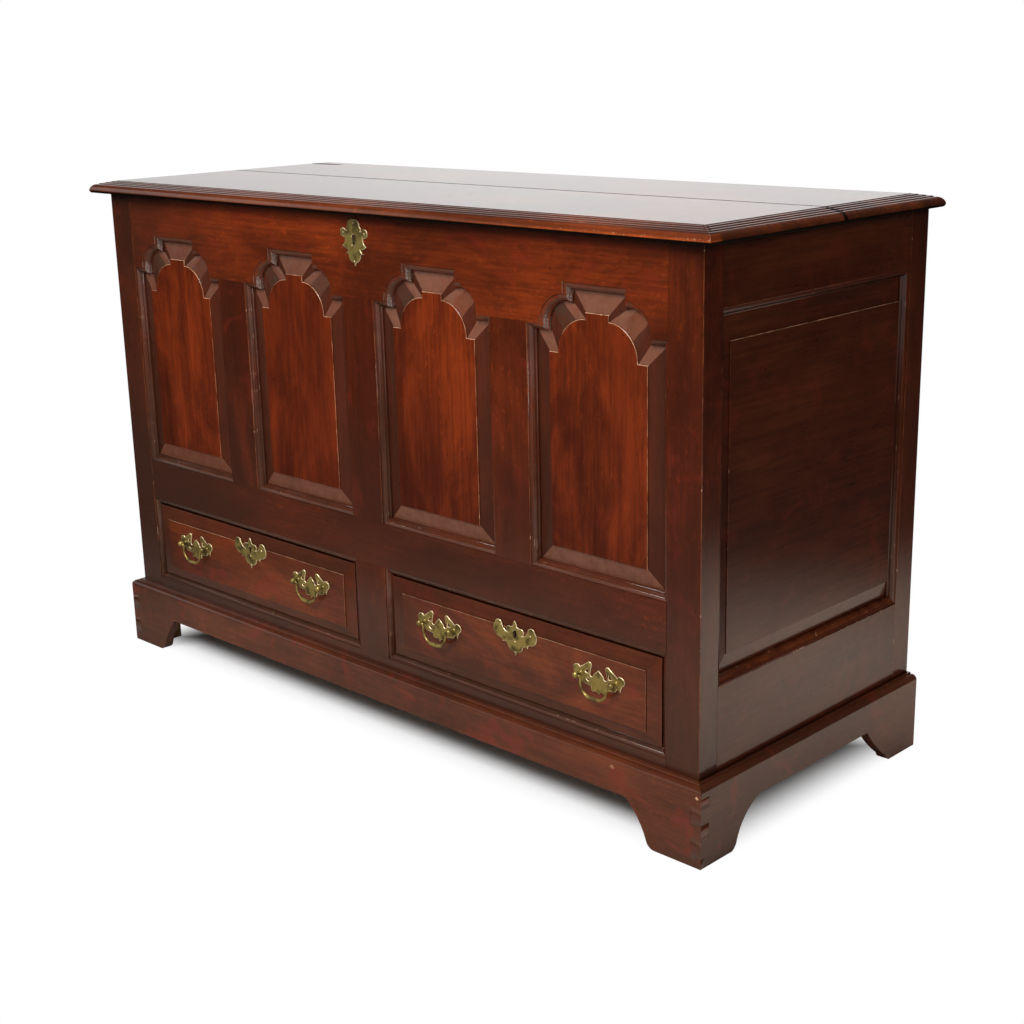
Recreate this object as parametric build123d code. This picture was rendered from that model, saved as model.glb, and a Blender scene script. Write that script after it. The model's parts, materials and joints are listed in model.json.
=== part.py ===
from build123d import *
import os
from collections import namedtuple
from math import cos, radians, sin, sqrt

# A panelled oak mule chest: a lidded chest over two drawers, on a plinth cut to bracket feet.
# Millimetres. +X runs along the width, +Y to the back and +Z up; the origin is on the floor under
# the middle of the whole chest. Depths are measured back from the face of each frame.

# ---------------------------------------------------------------- the case
CASE_WIDTH = 1250.0
CASE_DEPTH = 498.0
CASE_TOP = 795.0
CASE_BOTTOM = 62.0
POST_WIDTH = 54.0
FRONT_POST_DEPTH = 37.0
BACK_POST_DEPTH = 41.0
FRONT_THICKNESS = 28.0
SIDE_THICKNESS = 26.0
BACK_THICKNESS = 22.0
MUNTIN_WIDTH = 67.0
PANEL_COUNT = 4
DRAWER_MUNTIN_WIDTH = 65.0
MID_RAIL_BOTTOM = 274.0
MID_RAIL_TOP = 341.0
BOTTOM_RAIL_TOP = 128.0
SIDE_TOP_RAIL_WIDTH = 82.0
SIDE_BOTTOM_RAIL_TOP = 230.0
BACK_TOP_RAIL_WIDTH = 70.0
BACK_MID_RAIL_BOTTOM = 252.0
BACK_MID_RAIL_TOP = 322.0
BACK_BOTTOM_RAIL_TOP = 150.0
BACK_MUNTIN_WIDTH = 70.0
BACK_MUNTIN_TENON_LENGTH = 18.0
TENON_LENGTH = 30.0
MUNTIN_TENON_LENGTH = 25.0
TENON_THICKNESS = 8.0
FRONT_TENON_DEPTH = 9.0
BACK_TENON_DEPTH = 7.0
TENON_SETBACK = 12.0
MORTISE_SPARE = 1.0

# The worked edge of an opening: width across the face, depth down to its inner arris, the fillet
# above the ovolo and the flat lip left below it.
Moulding = namedtuple("Moulding", "width depth fillet lip")
PANEL_MOULDING = Moulding(width=10.0, depth=12.0, fillet=1.5, lip=3.5)
DRAWER_MOULDING = Moulding(width=10.0, depth=8.5, fillet=1.2, lip=1.5)
SIDE_MOULDING = Moulding(width=11.0, depth=12.0, fillet=1.5, lip=3.5)
OVOLO_FACETS = 3
# How far a cut runs past the face that it breaks through.
CUT_SPARE = 1.0

# ---------------------------------------------------------------- panels
GROOVE_DEPTH = 9.0
GROOVE_WIDTH = 7.2
PANEL_EDGE_THICKNESS = 7.0
PANEL_EDGE_SPARE = 1.0
FIELD_FACE_DEPTH = 5.0
FIELD_EDGE_DEPTH = 7.0
BEVEL_START_SPARE = 0.3
BACK_GROOVE_DEPTH = 8.0
BACK_PANEL_THICKNESS = 8.0

# An arched head: shoulders, a quarter arc on each side and a flat keystone raised above them.
Arch = namedtuple("Arch", "half_width bottom shoulder spring radius top")
PANEL_WIDTH = (CASE_WIDTH - 2 * POST_WIDTH - (PANEL_COUNT - 1) * MUNTIN_WIDTH) / PANEL_COUNT
ARCH_SHOULDER_BELOW_TOP = 121.0
ARCH_KEYSTONE_BELOW_TOP = 64.0
ARCH_SPRING = 53.6
ARCH_RADIUS = 41.2
FIELD_SHOULDER_BELOW_TOP = 156.5
FIELD_KEYSTONE_BELOW_TOP = 100.5
FIELD_SPRING = 19.5
FIELD_RADIUS = 47.0
FIELD_SIDE_MARGIN = 35.325
FIELD_BOTTOM_MARGIN = 34.5
OPENING_ARCH = Arch(
    PANEL_WIDTH / 2,
    MID_RAIL_TOP,
    CASE_TOP - ARCH_SHOULDER_BELOW_TOP,
    ARCH_SPRING,
    ARCH_RADIUS,
    CASE_TOP - ARCH_KEYSTONE_BELOW_TOP,
)
FIELD_ARCH = Arch(
    PANEL_WIDTH / 2 - FIELD_SIDE_MARGIN,
    MID_RAIL_TOP + FIELD_BOTTOM_MARGIN,
    CASE_TOP - FIELD_SHOULDER_BELOW_TOP,
    FIELD_SPRING,
    FIELD_RADIUS,
    CASE_TOP - FIELD_KEYSTONE_BELOW_TOP,
)
SIDE_FIELD_FRONT_MARGIN = 23.0
SIDE_FIELD_BACK_MARGIN = 17.0
SIDE_FIELD_TOP_MARGIN = 42.0
SIDE_FIELD_BOTTOM_MARGIN = 37.0

# ---------------------------------------------------------------- lid
LID_THICKNESS = 19.0
LID_SIDE_OVERHANG = 27.0
LID_FRONT_OVERHANG = 24.0
LID_JOINT_FROM_BACK = 243.5
LID_JOINT_GAP = 0.8
BACK_BOARD_SHORT = 1.5
REED_COUNT = 3
REED_WIDTH = 7.2
REED_DROP = 1.4
REED_CROWN = 0.7
QUIRK_WIDTH = 1.0
QUIRK_DEPTH = 0.9
NOSE_WIDTH = 11.4
NOSE_TIP_HEIGHT = 4.5
NOSE_UNDERCUT = 2.5
NOSE_UNDER_MIDDLE = (0.8, 1.8)
NOSE_OVER_MIDDLE = (3.6, 2.8)
BATTEN_SIZE = (45.0, 400.0, 20.0)
BATTEN_X = 500.0

# ---------------------------------------------------------------- hinges
BARREL_RADIUS = 5.0
BARREL_GAP = 0.5
PIN_RADIUS = 2.5
PIN_RUNNING_CLEARANCE = 0.05
HINGE_X = 400.0
KNUCKLE_COUNT = 3
KNUCKLE_LENGTH = 20.0
KNUCKLE_GAP = 0.4
IRON_THICKNESS = 2.5
STRAP_LENGTH = 300.0
STRAP_ROOT_WIDTH = 44.0
STRAP_END_WIDTH = 22.0
BACK_PLATE_HEIGHT = 48.0
BACK_PLATE_WIDTH = 60.0

# ---------------------------------------------------------------- floor and runners
FLOOR_ABOVE_RAIL = 12.0
FLOOR_THICKNESS = 14.0
FLOOR_GROOVE_DEPTH = 8.0
FLOOR_BOARD_COUNT = 5
FLOOR_BOARD_GAP = 0.6
FLOOR_SIDE_GAP = 1.0
RUNNER_THICKNESS = 25.0
RUNNER_GUIDE_TOP = 165.0
RUNNER_BEARING = 15.0
CENTRE_RUNNER_HALF_WIDTH = 62.0
STOP_SIZE = (14.0, 18.0, 22.0)

# ---------------------------------------------------------------- drawers
DRAWER_SIDE_GAP = 1.2
DRAWER_TOP_GAP = 2.0
DRAWER_BOTTOM_GAP = 0.5
DRAWER_REST_GAP = 0.2
DRAWER_BACK_CLEAR = 30.5
DRAWER_EDGE_DEPTH = 5.5
DRAWER_STEP_DEPTH = 3.0
DRAWER_FIELD_DEPTH = 1.5
DRAWER_FRONT_BACK = 25.0
DRAWER_FIELD_SIDE = 24.0
DRAWER_FIELD_TOP = 22.0
DRAWER_FIELD_BOTTOM = 15.0
DRAWER_SIDE_THICKNESS = 11.0
DRAWER_SIDE_HEIGHT = 112.0
DRAWER_LAP = 6.5
DRAWER_TAIL_COUNT = 3
DRAWER_TAIL_SLOPE = 1 / 6
DRAWER_PIN_SHARE = 0.3
DRAWER_BOTTOM_RAISE = 9.5
DRAWER_BOTTOM_THICKNESS = 8.0
DRAWER_BOTTOM_LET_IN = 5.0
DRAWER_GROOVE_SPARE = 0.2

# ---------------------------------------------------------------- plinth
PLINTH_THICKNESS = 17.0
PLINTH_TOP = 113.6
PLINTH_BEAD_WIDTH = 6.5
PLINTH_BEAD_HEIGHT = 2.2
PLINTH_BEAD_ROUND = 1.0
PLINTH_BEAD_EASE = 0.3
PLINTH_QUIRK = 1.0
PLINTH_OVOLO_OUT = 2.2
PLINTH_OVOLO_DROP = 4.0
PLINTH_SHOULDER = 104.6
PLINTH_MITRE_FOOT = 98.0
# A bracket foot: its width on the floor, how far its curve reaches, the middle of that curve and
# the point of the toe where it ends.
Bracket = namedtuple("Bracket", "foot reach curve_x curve_z toe_x toe_z")
FRONT_BRACKET = Bracket(foot=78.0, reach=126.0, curve_x=105.0, curve_z=39.0, toe_x=90.5, toe_z=11.0)
SIDE_FRONT_BRACKET = Bracket(foot=67.0, reach=126.0, curve_x=94.0, curve_z=41.0, toe_x=77.5, toe_z=13.0)
SIDE_BACK_BRACKET = Bracket(foot=68.0, reach=130.0, curve_x=101.0, curve_z=29.0, toe_x=78.0, toe_z=9.5)
TOE_SETBACK = 3.5
TOE_SAG = 1.0
PLINTH_PINS = ((13.0, 41.0), (60.0, 84.5))
PLINTH_PIN_SLOPE = 1 / 6
FOOT_BLOCK_SIZE = 40.0
FOOT_BLOCK_CLEAR = 2.0

# ---------------------------------------------------------------- locks
DRAWER_LOCK_SIZE = (60.0, 12.0, 45.0)
DRAWER_BOLT_SIZE = (22.0, 6.0, 18.0)
DRAWER_BOLT_THROW = 8.0
BOLT_CLEARANCE = 0.2
KEY_CHAMBER_RADIUS = 9.0
DRAWER_KEYHOLE_BELOW_TOP = 26.0
KEYHOLE_RADIUS = 3.0
KEYHOLE_SLOT_WIDTH = 3.4
KEYHOLE_SLOT_DROP = 8.0
LID_KEYHOLE_BELOW_TOP = 33.0
LID_KEYHOLE_DROP = 11.0
LID_LOCK_SIZE = (80.0, 14.0, 70.0)
LID_LOCK_DEPTH = 16.0
LID_BOLT_THROW = 8.0
STAPLE_X = (-18.0, 18.0)
STAPLE_WIDTH = 4.0
STAPLE_LEG = 2.0
STAPLE_EYE = 4.4
STAPLE_DROP = 16.0
LINK_PLATE_SIZE = (60.0, 22.0, 2.5)
BOLT_NOSE_CLEAR = 1.0
BOLT_NOSE_HEIGHT = 4.0
BOLT_ARM_WIDTH = 4.0
BOLT_BAR_HEIGHT = 6.0
BOLT_BAR_BELOW_TOP = 18.0
BOLT_NOSE_BELOW_TOP = 6.0
BOLT_THICKNESS = 3.8

# ---------------------------------------------------------------- brasses
BRASS_THICKNESS = 1.6
HANDLE_SPACING = 154.0
HANDLE_ABOVE_DRAWER = 70.5
POST_SPACING = 31.0
BALL_RADIUS = 5.0
BALL_PROUD = 10.0
SHANK_RADIUS = 2.5
SHANK_FIT = 0.02
NUT_WIDTH = 10.0
NUT_THICKNESS = 4.0
SHANK_BEYOND_NUT = 2.0
BAIL_RADIUS = 1.7
BAIL_BAR_HALF = 1.85
BAIL_CLEARANCE = 0.1
BAIL_ARM_X = 23.5
BAIL_DROP = 27.0
BAIL_ELBOW = 1.2
BAIL_CORNER = 13.0
BAIL_GRIP_RADIUS = 3.0
BAIL_GRIP_HALF = 12.0
BAIL_GRIP_FLAT = 4.0
BAIL_PIN_END = 3.4
BALL_BORE_DEPTH = 6.5
DRAWER_ESCUTCHEON_BELOW_TOP = 35.0
LID_ESCUTCHEON_BELOW_TOP = 42.5

# Half outlines of the brasses, from the bottom middle to the top middle. A run of three pairs is
# an arc, a run of two a straight edge.
HANDLE_PLATE = (
    ((0.0, -24.0), (3.4, -20.8), (8.5, -21.5)),
    ((8.5, -21.5), (13.2, -19.8), (12.8, -15.0)),
    ((12.8, -15.0), (25.5, -13.5)),
    ((25.5, -13.5), (29.5, -12.0), (31.5, -8.0)),
    ((31.5, -8.0), (35.0, -8.4), (37.4, -12.2)),
    ((37.4, -12.2), (39.4, -5.8), (42.0, -1.5)),
    ((42.0, -1.5), (45.6, 5.0), (40.0, 10.4)),
    ((40.0, 10.4), (36.0, 11.0), (33.0, 8.2)),
    ((33.0, 8.2), (19.5, 17.4)),
    ((19.5, 17.4), (14.0, 18.6), (12.6, 13.2)),
    ((12.6, 13.2), (15.2, 2.4)),
    ((15.2, 2.4), (12.2, -1.2), (9.2, 2.6)),
    ((9.2, 2.6), (0.0, 10.8)),
)
DRAWER_ESCUTCHEON = (
    ((0.0, -26.2), (2.0, -21.5), (5.0, -19.0)),
    ((5.0, -19.0), (11.5, -17.0), (14.5, -11.0)),
    ((14.5, -11.0), (19.5, -8.2), (24.6, -10.2)),
    ((24.6, -10.2), (25.0, -6.0), (28.0, -4.4)),
    ((28.0, -4.4), (40.5, 3.0), (38.6, 16.0)),
    ((38.6, 16.0), (32.0, 21.6), (24.5, 15.6)),
    ((24.5, 15.6), (20.5, 9.2), (14.0, 6.4)),
    ((14.0, 6.4), (16.4, 13.4), (9.6, 16.2)),
    ((9.6, 16.2), (6.0, 16.8), (4.2, 17.6)),
    ((4.2, 17.6), (2.8, 22.4), (0.0, 26.2)),
)
LID_ESCUTCHEON = (
    ((0.0, -33.2), (2.2, -29.0), (5.4, -27.4)),
    ((5.4, -27.4), (11.0, -23.4), (13.0, -16.8)),
    ((13.0, -16.8), (15.8, -15.6), (18.8, -15.8)),
    ((18.8, -15.8), (15.0, -12.9), (12.6, -9.0)),
    ((12.6, -9.0), (19.6, -8.0), (26.0, -4.2)),
    ((26.0, -4.2), (20.5, 0.4), (20.0, 8.2)),
    ((20.0, 8.2), (29.4, 15.8), (19.4, 19.6)),
    ((19.4, 19.6), (16.6, 17.4), (14.6, 17.2)),
    ((14.6, 17.2), (15.8, 20.0), (13.6, 22.6)),
    ((13.6, 22.6), (9.6, 31.4), (0.0, 33.4)),
)
# The scroll eyes pierced through the right wing of a handle's plate.
WING_PIERCINGS = (
    ((17.5, 2.0), (24.5, 3.4), (18.6, 9.4)),
    ((15.6, -4.4), (16.6, -9.6), (22.6, -6.6)),
)
# Half the outline of a turned ball from its front, as (out from the axis, back from its centre) in
# shares of its radius.
BALL_PROFILE = ((0.25, -1.0), (0.62, -0.8), (0.92, -0.42), (0.92, 0.42), (0.5, 0.866))
# The flats that stand for the small brasses' rounds: chords to an arc of an outline, and sides to a
# ball, a shank and a bail's grip.
OUTLINE_CHORDS = 4
BALL_SIDES = 12
SHANK_SIDES = 8
GRIP_SIDES = 8

# ---------------------------------------------------------------- derived positions
HALF_WIDTH = CASE_WIDTH / 2
REACH = LID_FRONT_OVERHANG + CASE_DEPTH + BARREL_GAP + 2 * BARREL_RADIUS
FRONT_Y = LID_FRONT_OVERHANG - REACH / 2
BACK_Y = FRONT_Y + CASE_DEPTH
FRONT_POST_BACK = FRONT_Y + FRONT_POST_DEPTH
BACK_POST_FRONT = BACK_Y - BACK_POST_DEPTH
SHOULDER_X = HALF_WIDTH - POST_WIDTH
HINGE_Y = BACK_Y + BARREL_GAP + BARREL_RADIUS
LID_TOP = CASE_TOP + LID_THICKNESS
PANEL_PITCH = PANEL_WIDTH + MUNTIN_WIDTH
PANEL_CENTRES = [(i - (PANEL_COUNT - 1) / 2) * PANEL_PITCH for i in range(PANEL_COUNT)]
PANEL_SPANS = [(c - PANEL_WIDTH / 2, c + PANEL_WIDTH / 2) for c in PANEL_CENTRES]
MUNTIN_SPANS = [(a[1], b[0]) for a, b in zip(PANEL_SPANS, PANEL_SPANS[1:])]
DRAWER_SPANS = [(-SHOULDER_X, -DRAWER_MUNTIN_WIDTH / 2), (DRAWER_MUNTIN_WIDTH / 2, SHOULDER_X)]
DRAWER_CENTRES = [(a + b) / 2 for a, b in DRAWER_SPANS]
DRAWER_WIDTH = (
    DRAWER_SPANS[0][1] - DRAWER_SPANS[0][0] - 2 * (DRAWER_MOULDING.width + DRAWER_SIDE_GAP)
)
DRAWER_Z0 = BOTTOM_RAIL_TOP + DRAWER_MOULDING.width + DRAWER_BOTTOM_GAP
DRAWER_Z1 = MID_RAIL_BOTTOM - DRAWER_MOULDING.width - DRAWER_TOP_GAP
DRAWER_BACK_Y = BACK_Y - BACK_THICKNESS - DRAWER_BACK_CLEAR
DRAWER_INNER_Y = FRONT_Y + DRAWER_FRONT_BACK
RUNNER_TOP = DRAWER_Z0 - DRAWER_REST_GAP
DRAWER_BOTTOM_Z = DRAWER_Z0 + DRAWER_BOTTOM_RAISE
SIDE_TOP_RAIL_BOTTOM = CASE_TOP - SIDE_TOP_RAIL_WIDTH
BACK_TOP_RAIL_BOTTOM = CASE_TOP - BACK_TOP_RAIL_WIDTH
FLOOR_BOTTOM = MID_RAIL_BOTTOM + FLOOR_ABOVE_RAIL
DRAWER_KEYHOLE_Z = DRAWER_Z1 - DRAWER_KEYHOLE_BELOW_TOP
DRAWER_ESCUTCHEON_Z = DRAWER_Z1 - DRAWER_ESCUTCHEON_BELOW_TOP
HANDLE_Z = DRAWER_Z0 + HANDLE_ABOVE_DRAWER
LID_KEYHOLE_Z = CASE_TOP - LID_KEYHOLE_BELOW_TOP
LID_ESCUTCHEON_Z = CASE_TOP - LID_ESCUTCHEON_BELOW_TOP
BOLT_BAR_TOP = CASE_TOP - BOLT_BAR_BELOW_TOP
BOLT_NOSE_TOP = CASE_TOP - BOLT_NOSE_BELOW_TOP
LID_JOINT_Y = BACK_Y - LID_JOINT_FROM_BACK
BALL_Y = FRONT_Y + DRAWER_FIELD_DEPTH - BRASS_THICKNESS - BALL_PROUD
FRONT_RAILS = (
    (OPENING_ARCH.shoulder, CASE_TOP),
    (MID_RAIL_BOTTOM, MID_RAIL_TOP),
    (CASE_BOTTOM, BOTTOM_RAIL_TOP),
)
BACK_RAILS = (
    (BACK_TOP_RAIL_BOTTOM, CASE_TOP),
    (BACK_MID_RAIL_BOTTOM, BACK_MID_RAIL_TOP),
    (CASE_BOTTOM, BACK_BOTTOM_RAIL_TOP),
)
SIDE_RAILS = ((SIDE_TOP_RAIL_BOTTOM, CASE_TOP), (CASE_BOTTOM, SIDE_BOTTOM_RAIL_TOP))
MUNTIN_HEIGHTS = (MID_RAIL_TOP, OPENING_ARCH.shoulder)
DRAWER_HEIGHTS = (BOTTOM_RAIL_TOP, MID_RAIL_BOTTOM)


# ---------------------------------------------------------------- shapes that everything shares
def block(x, y, z):
    """A box from three (low, high) pairs."""
    sides = (x, y, z)
    centre = [(low + high) / 2 for low, high in sides]
    return Pos(*centre) * Box(*[high - low for low, high in sides])


def rod_x(x, y, z, radius):
    """A round bar along X between the two values of x."""
    return Pos((x[0] + x[1]) / 2, y, z) * Rot(0, 90, 0) * Cylinder(radius, x[1] - x[0])


def rod_y(x, y, z, radius):
    """A round bar along Y between the two values of y."""
    return Pos(x, (y[0] + y[1]) / 2, z) * Rot(90, 0, 0) * Cylinder(radius, y[1] - y[0])


def joined(shapes):
    """All the shapes fused to one."""
    shapes = list(shapes)
    return shapes[0].fuse(*shapes[1:]) if len(shapes) > 1 else shapes[0]


def common(first, *others):
    """What all the shapes share."""
    for other in others:
        first = joined(first.intersect(other).solids())
    return first


def level_plane(height):
    """Places (x, y) at a height."""
    return lambda a, b: (a, b, height)


def upright_plane(y):
    """Places (x, z) at a y."""
    return lambda a, b: (a, y, b)


def cross_plane(x):
    """Places (y, z) at an x."""
    return lambda a, b: (x, a, b)


def front_plane(depth):
    """Places (x, z) at a depth behind the front frame's face."""
    return upright_plane(FRONT_Y + depth)


def back_plane(depth):
    """Places (x, z) at a depth in front of the back frame's face."""
    return upright_plane(BACK_Y - depth)


def side_plane(hand):
    """For one side (hand -1 left, 1 right): places (y, z) at a depth behind its face."""
    return lambda depth: cross_plane(hand * (HALF_WIDTH - depth))


def open_runs(points):
    """The straight runs of an open polygon."""
    return list(zip(points, points[1:]))


def runs_of(points):
    """The straight runs of a closed polygon."""
    return open_runs(points + points[:1])


def chorded(runs):
    """The outline with a few straight chords in place of each arc."""
    chords = []
    for run in runs:
        if len(run) == 2:
            chords.append(run)
        else:
            arc = Edge.make_three_point_arc(*run)
            stations = [arc @ (i / OUTLINE_CHORDS) for i in range(OUTLINE_CHORDS + 1)]
            chords += open_runs([(station.X, station.Y) for station in stations])
    return chords


def face_of(runs, place):
    """A flat face bounded by straight runs (two points) and arcs (three)."""
    edges = []
    for run in runs:
        points = [place(*point) for point in run]
        make = Edge.make_line if len(points) == 2 else Edge.make_three_point_arc
        edges.append(make(*points))
    return Face(Wire(edges))


def prism(runs, plane, near, far):
    """The outline carried straight from one depth of a plane to another."""
    travel = Vector(*plane(far)(0, 0)) - Vector(*plane(near)(0, 0))
    return Solid.extrude(face_of(runs, plane(near)), travel)


def ruled(sections, plane):
    """The solid ruled through a list of (outline, depth)."""
    return loft([face_of(runs, plane(depth)) for runs, depth in sections], ruled=True)


def flatted(place, stations, sides):
    """A turned shape with flats, through (radius, distance along the plane's normal) stations."""
    polygons = [
        place * Pos(0, 0, along) * RegularPolygon(radius, sides) for radius, along in stations
    ]
    return loft(polygons, ruled=True)


def mirrored(half):
    """A closed outline from its right half, given from bottom middle to top middle."""
    left = [tuple((-x, z) for x, z in reversed(run)) for run in reversed(half)]
    return list(half) + left


def moved(runs, x, z):
    """The outline shifted by x and z."""
    return [tuple((a + x, b + z) for a, b in run) for run in runs]


# ---------------------------------------------------------------- openings and their mouldings
def rectangle(a, b):
    """The outline of a plain opening as a function of how far it is set in."""
    def outline(inset=0.0):
        a0, a1 = a[0] + inset, a[1] - inset
        b0, b1 = b[0] + inset, b[1] - inset
        return runs_of([(a0, b0), (a1, b0), (a1, b1), (a0, b1)])
    return outline


def arched(centre, arch):
    """The outline of an arched opening or field as a function of how far it is set in."""
    def outline(inset=0.0):
        radius = arch.radius - inset
        reach = sqrt(radius**2 - inset**2)
        diagonal = radius / sqrt(2)
        side = arch.half_width - inset
        shoulder = arch.shoulder - inset
        foot = arch.bottom + inset
        step = arch.spring - inset
        half = [
            ((0, foot), (side, foot)),
            ((side, foot), (side, shoulder)),
            ((side, shoulder), (arch.spring + reach, shoulder)),
            (
                (arch.spring + reach, shoulder),
                (arch.spring + diagonal, arch.shoulder + diagonal),
                (step, arch.shoulder + reach),
            ),
            ((step, arch.shoulder + reach), (step, arch.top - inset)),
            ((step, arch.top - inset), (0, arch.top - inset)),
        ]
        return moved(mirrored(half), centre, 0)
    return outline


def ovolo(moulding):
    """The quarter round of a moulded edge, as (inset, depth) from its fillet to its lip."""
    run = moulding.width - 2 * moulding.fillet
    fall = moulding.depth - moulding.lip - moulding.fillet
    points = []
    for i in range(OVOLO_FACETS + 1):
        turn = radians(90 * i / OVOLO_FACETS)
        points.append((moulding.fillet + run * sin(turn), moulding.fillet + fall * (1 - cos(turn))))
    return points


def moulded_cut(outline, moulding, thickness, plane):
    """What is worked out of a frame at an opening: fillet, ovolo, lip and the way through."""
    fillet = prism(outline(0), plane, -CUT_SPARE, moulding.fillet)
    curve = ruled([(outline(inset), depth) for inset, depth in ovolo(moulding)], plane)
    lip = moulding.depth - moulding.lip
    through = prism(outline(moulding.width), plane, lip, thickness + CUT_SPARE)
    return joined([fillet, curve, through])


def panel_groove(outline, moulding, plane):
    """The groove behind the moulding that holds a panel's edges."""
    return prism(
        outline(moulding.width - GROOVE_DEPTH), plane, moulding.depth, moulding.depth + GROOVE_WIDTH
    )


def mitred_lip(across, level, hand, width, plane, thickness, upright):
    """The strip of a member that carries its worked edge, mitred at both ends."""
    low, high = across
    points = [(low, level), (low + width, level + hand * width)]
    points += [(high - width, level + hand * width), (high, level)]
    if upright:
        points = [(b, a) for a, b in points]
    return prism(runs_of(points), plane, 0, thickness)


def fielded_panel(outline, field, moulding, plane):
    """A panel: flat edges for the groove, bevels up to a stepped field."""
    seat = moulding.depth
    rim = outline(moulding.width - GROOVE_DEPTH + PANEL_EDGE_SPARE)
    edges = prism(rim, plane, seat, seat + PANEL_EDGE_THICKNESS)
    bevels = ruled(
        [(outline(moulding.width + BEVEL_START_SPARE), seat), (field, FIELD_EDGE_DEPTH)], plane
    )
    raised = prism(field, plane, FIELD_EDGE_DEPTH, FIELD_FACE_DEPTH)
    return joined([edges, bevels, raised])


# ---------------------------------------------------------------- front frame
def panel_cuts():
    """The four arched openings with their grooves."""
    cuts = []
    for centre in PANEL_CENTRES:
        outline = arched(centre, OPENING_ARCH)
        cuts.append(moulded_cut(outline, PANEL_MOULDING, FRONT_THICKNESS, front_plane))
        cuts.append(panel_groove(outline, PANEL_MOULDING, front_plane))
    return cuts


def drawer_cuts():
    """The two drawer openings."""
    return [
        moulded_cut(rectangle(span, DRAWER_HEIGHTS), DRAWER_MOULDING, FRONT_THICKNESS, front_plane)
        for span in DRAWER_SPANS
    ]


def side_opening(hand):
    """One side's opening with its groove."""
    outline = side_outline()
    plane = side_plane(hand)
    return [
        moulded_cut(outline, SIDE_MOULDING, SIDE_THICKNESS, plane),
        panel_groove(outline, SIDE_MOULDING, plane),
    ]


def side_outline():
    """The opening of a side frame, in (y, z)."""
    return rectangle((FRONT_POST_BACK, BACK_POST_FRONT), (SIDE_BOTTOM_RAIL_TOP, SIDE_TOP_RAIL_BOTTOM))


def front_slab(x, z):
    """A plain length of the front frame."""
    return block(x, (FRONT_Y, FRONT_Y + FRONT_THICKNESS), z)


def front_tenons(z, spare=0.0):
    """The two end tenons of a front rail between heights z, or their mortises."""
    tongue = (FRONT_Y + FRONT_TENON_DEPTH, FRONT_Y + FRONT_TENON_DEPTH + TENON_THICKNESS)
    height = (z[0] + TENON_SETBACK, z[1] - TENON_SETBACK)
    reach = SHOULDER_X + TENON_LENGTH + spare
    return [block((SHOULDER_X, reach), tongue, height), block((-reach, -SHOULDER_X), tongue, height)]


def back_tenons(z, spare=0.0):
    """The two end tenons of a back rail between heights z, or their mortises."""
    tongue = (BACK_Y - BACK_TENON_DEPTH - TENON_THICKNESS, BACK_Y - BACK_TENON_DEPTH)
    height = (z[0] + TENON_SETBACK, z[1] - TENON_SETBACK)
    reach = SHOULDER_X + TENON_LENGTH + spare
    return [block((SHOULDER_X, reach), tongue, height), block((-reach, -SHOULDER_X), tongue, height)]


def side_tenons(hand, z, spare=0.0):
    """The two end tenons of a side rail between heights z, or their mortises."""
    outer = hand * (HALF_WIDTH - FRONT_TENON_DEPTH)
    inner = outer - hand * TENON_THICKNESS
    tongue = (min(outer, inner), max(outer, inner))
    height = (z[0] + TENON_SETBACK, z[1] - TENON_SETBACK)
    length = TENON_LENGTH + spare
    front = (FRONT_POST_BACK - length, FRONT_POST_BACK)
    back = (BACK_POST_FRONT, BACK_POST_FRONT + length)
    return [block(tongue, front, height), block(tongue, back, height)]


def muntin_tenon(x, z, spare=0.0):
    """A muntin's tenon: z runs from its shoulder to its end."""
    tongue = (FRONT_Y + FRONT_TENON_DEPTH, FRONT_Y + FRONT_TENON_DEPTH + TENON_THICKNESS)
    end = z[1] + spare * (1 if z[1] > z[0] else -1)
    return block(
        (x[0] + TENON_SETBACK, x[1] - TENON_SETBACK), tongue, (min(z[0], end), max(z[0], end))
    )


def front_lip(across, level, hand, moulding, upright=False):
    """A mitred lip on a member of the front frame."""
    return mitred_lip(across, level, hand, moulding.width, front_plane, FRONT_THICKNESS, upright)


def front_post(hand, panels, drawers, side):
    """A front post with the worked edges of the openings on both its faces."""
    edge = hand * SHOULDER_X
    x = sorted((edge, hand * HALF_WIDTH))
    post = [
        block(x, (FRONT_Y, FRONT_POST_BACK), (CASE_BOTTOM, CASE_TOP)),
        front_lip(MUNTIN_HEIGHTS, edge, -hand, PANEL_MOULDING, upright=True),
        front_lip(DRAWER_HEIGHTS, edge, -hand, DRAWER_MOULDING, upright=True),
        side_lip((SIDE_BOTTOM_RAIL_TOP, SIDE_TOP_RAIL_BOTTOM), FRONT_POST_BACK, 1, hand, upright=True),
    ]
    mortises = [m for z in FRONT_RAILS for m in front_tenons(z, MORTISE_SPARE)]
    mortises += [m for z in SIDE_RAILS for m in side_tenons(hand, z, MORTISE_SPARE)]
    return joined(post).cut(*panels, *drawers, *side, *mortises)


def back_post(hand, side):
    """A back post, grooved for the back panels and moulded along the side opening."""
    x = sorted((hand * SHOULDER_X, hand * HALF_WIDTH))
    post = [
        block(x, (BACK_POST_FRONT, BACK_Y), (CASE_BOTTOM, CASE_TOP)),
        side_lip((SIDE_BOTTOM_RAIL_TOP, SIDE_TOP_RAIL_BOTTOM), BACK_POST_FRONT, -1, hand, upright=True),
    ]
    mortises = [m for z in BACK_RAILS for m in back_tenons(z, MORTISE_SPARE)]
    mortises += [m for z in SIDE_RAILS for m in side_tenons(hand, z, MORTISE_SPARE)]
    return joined(post).cut(*side, *back_grooves(), *mortises)


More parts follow.
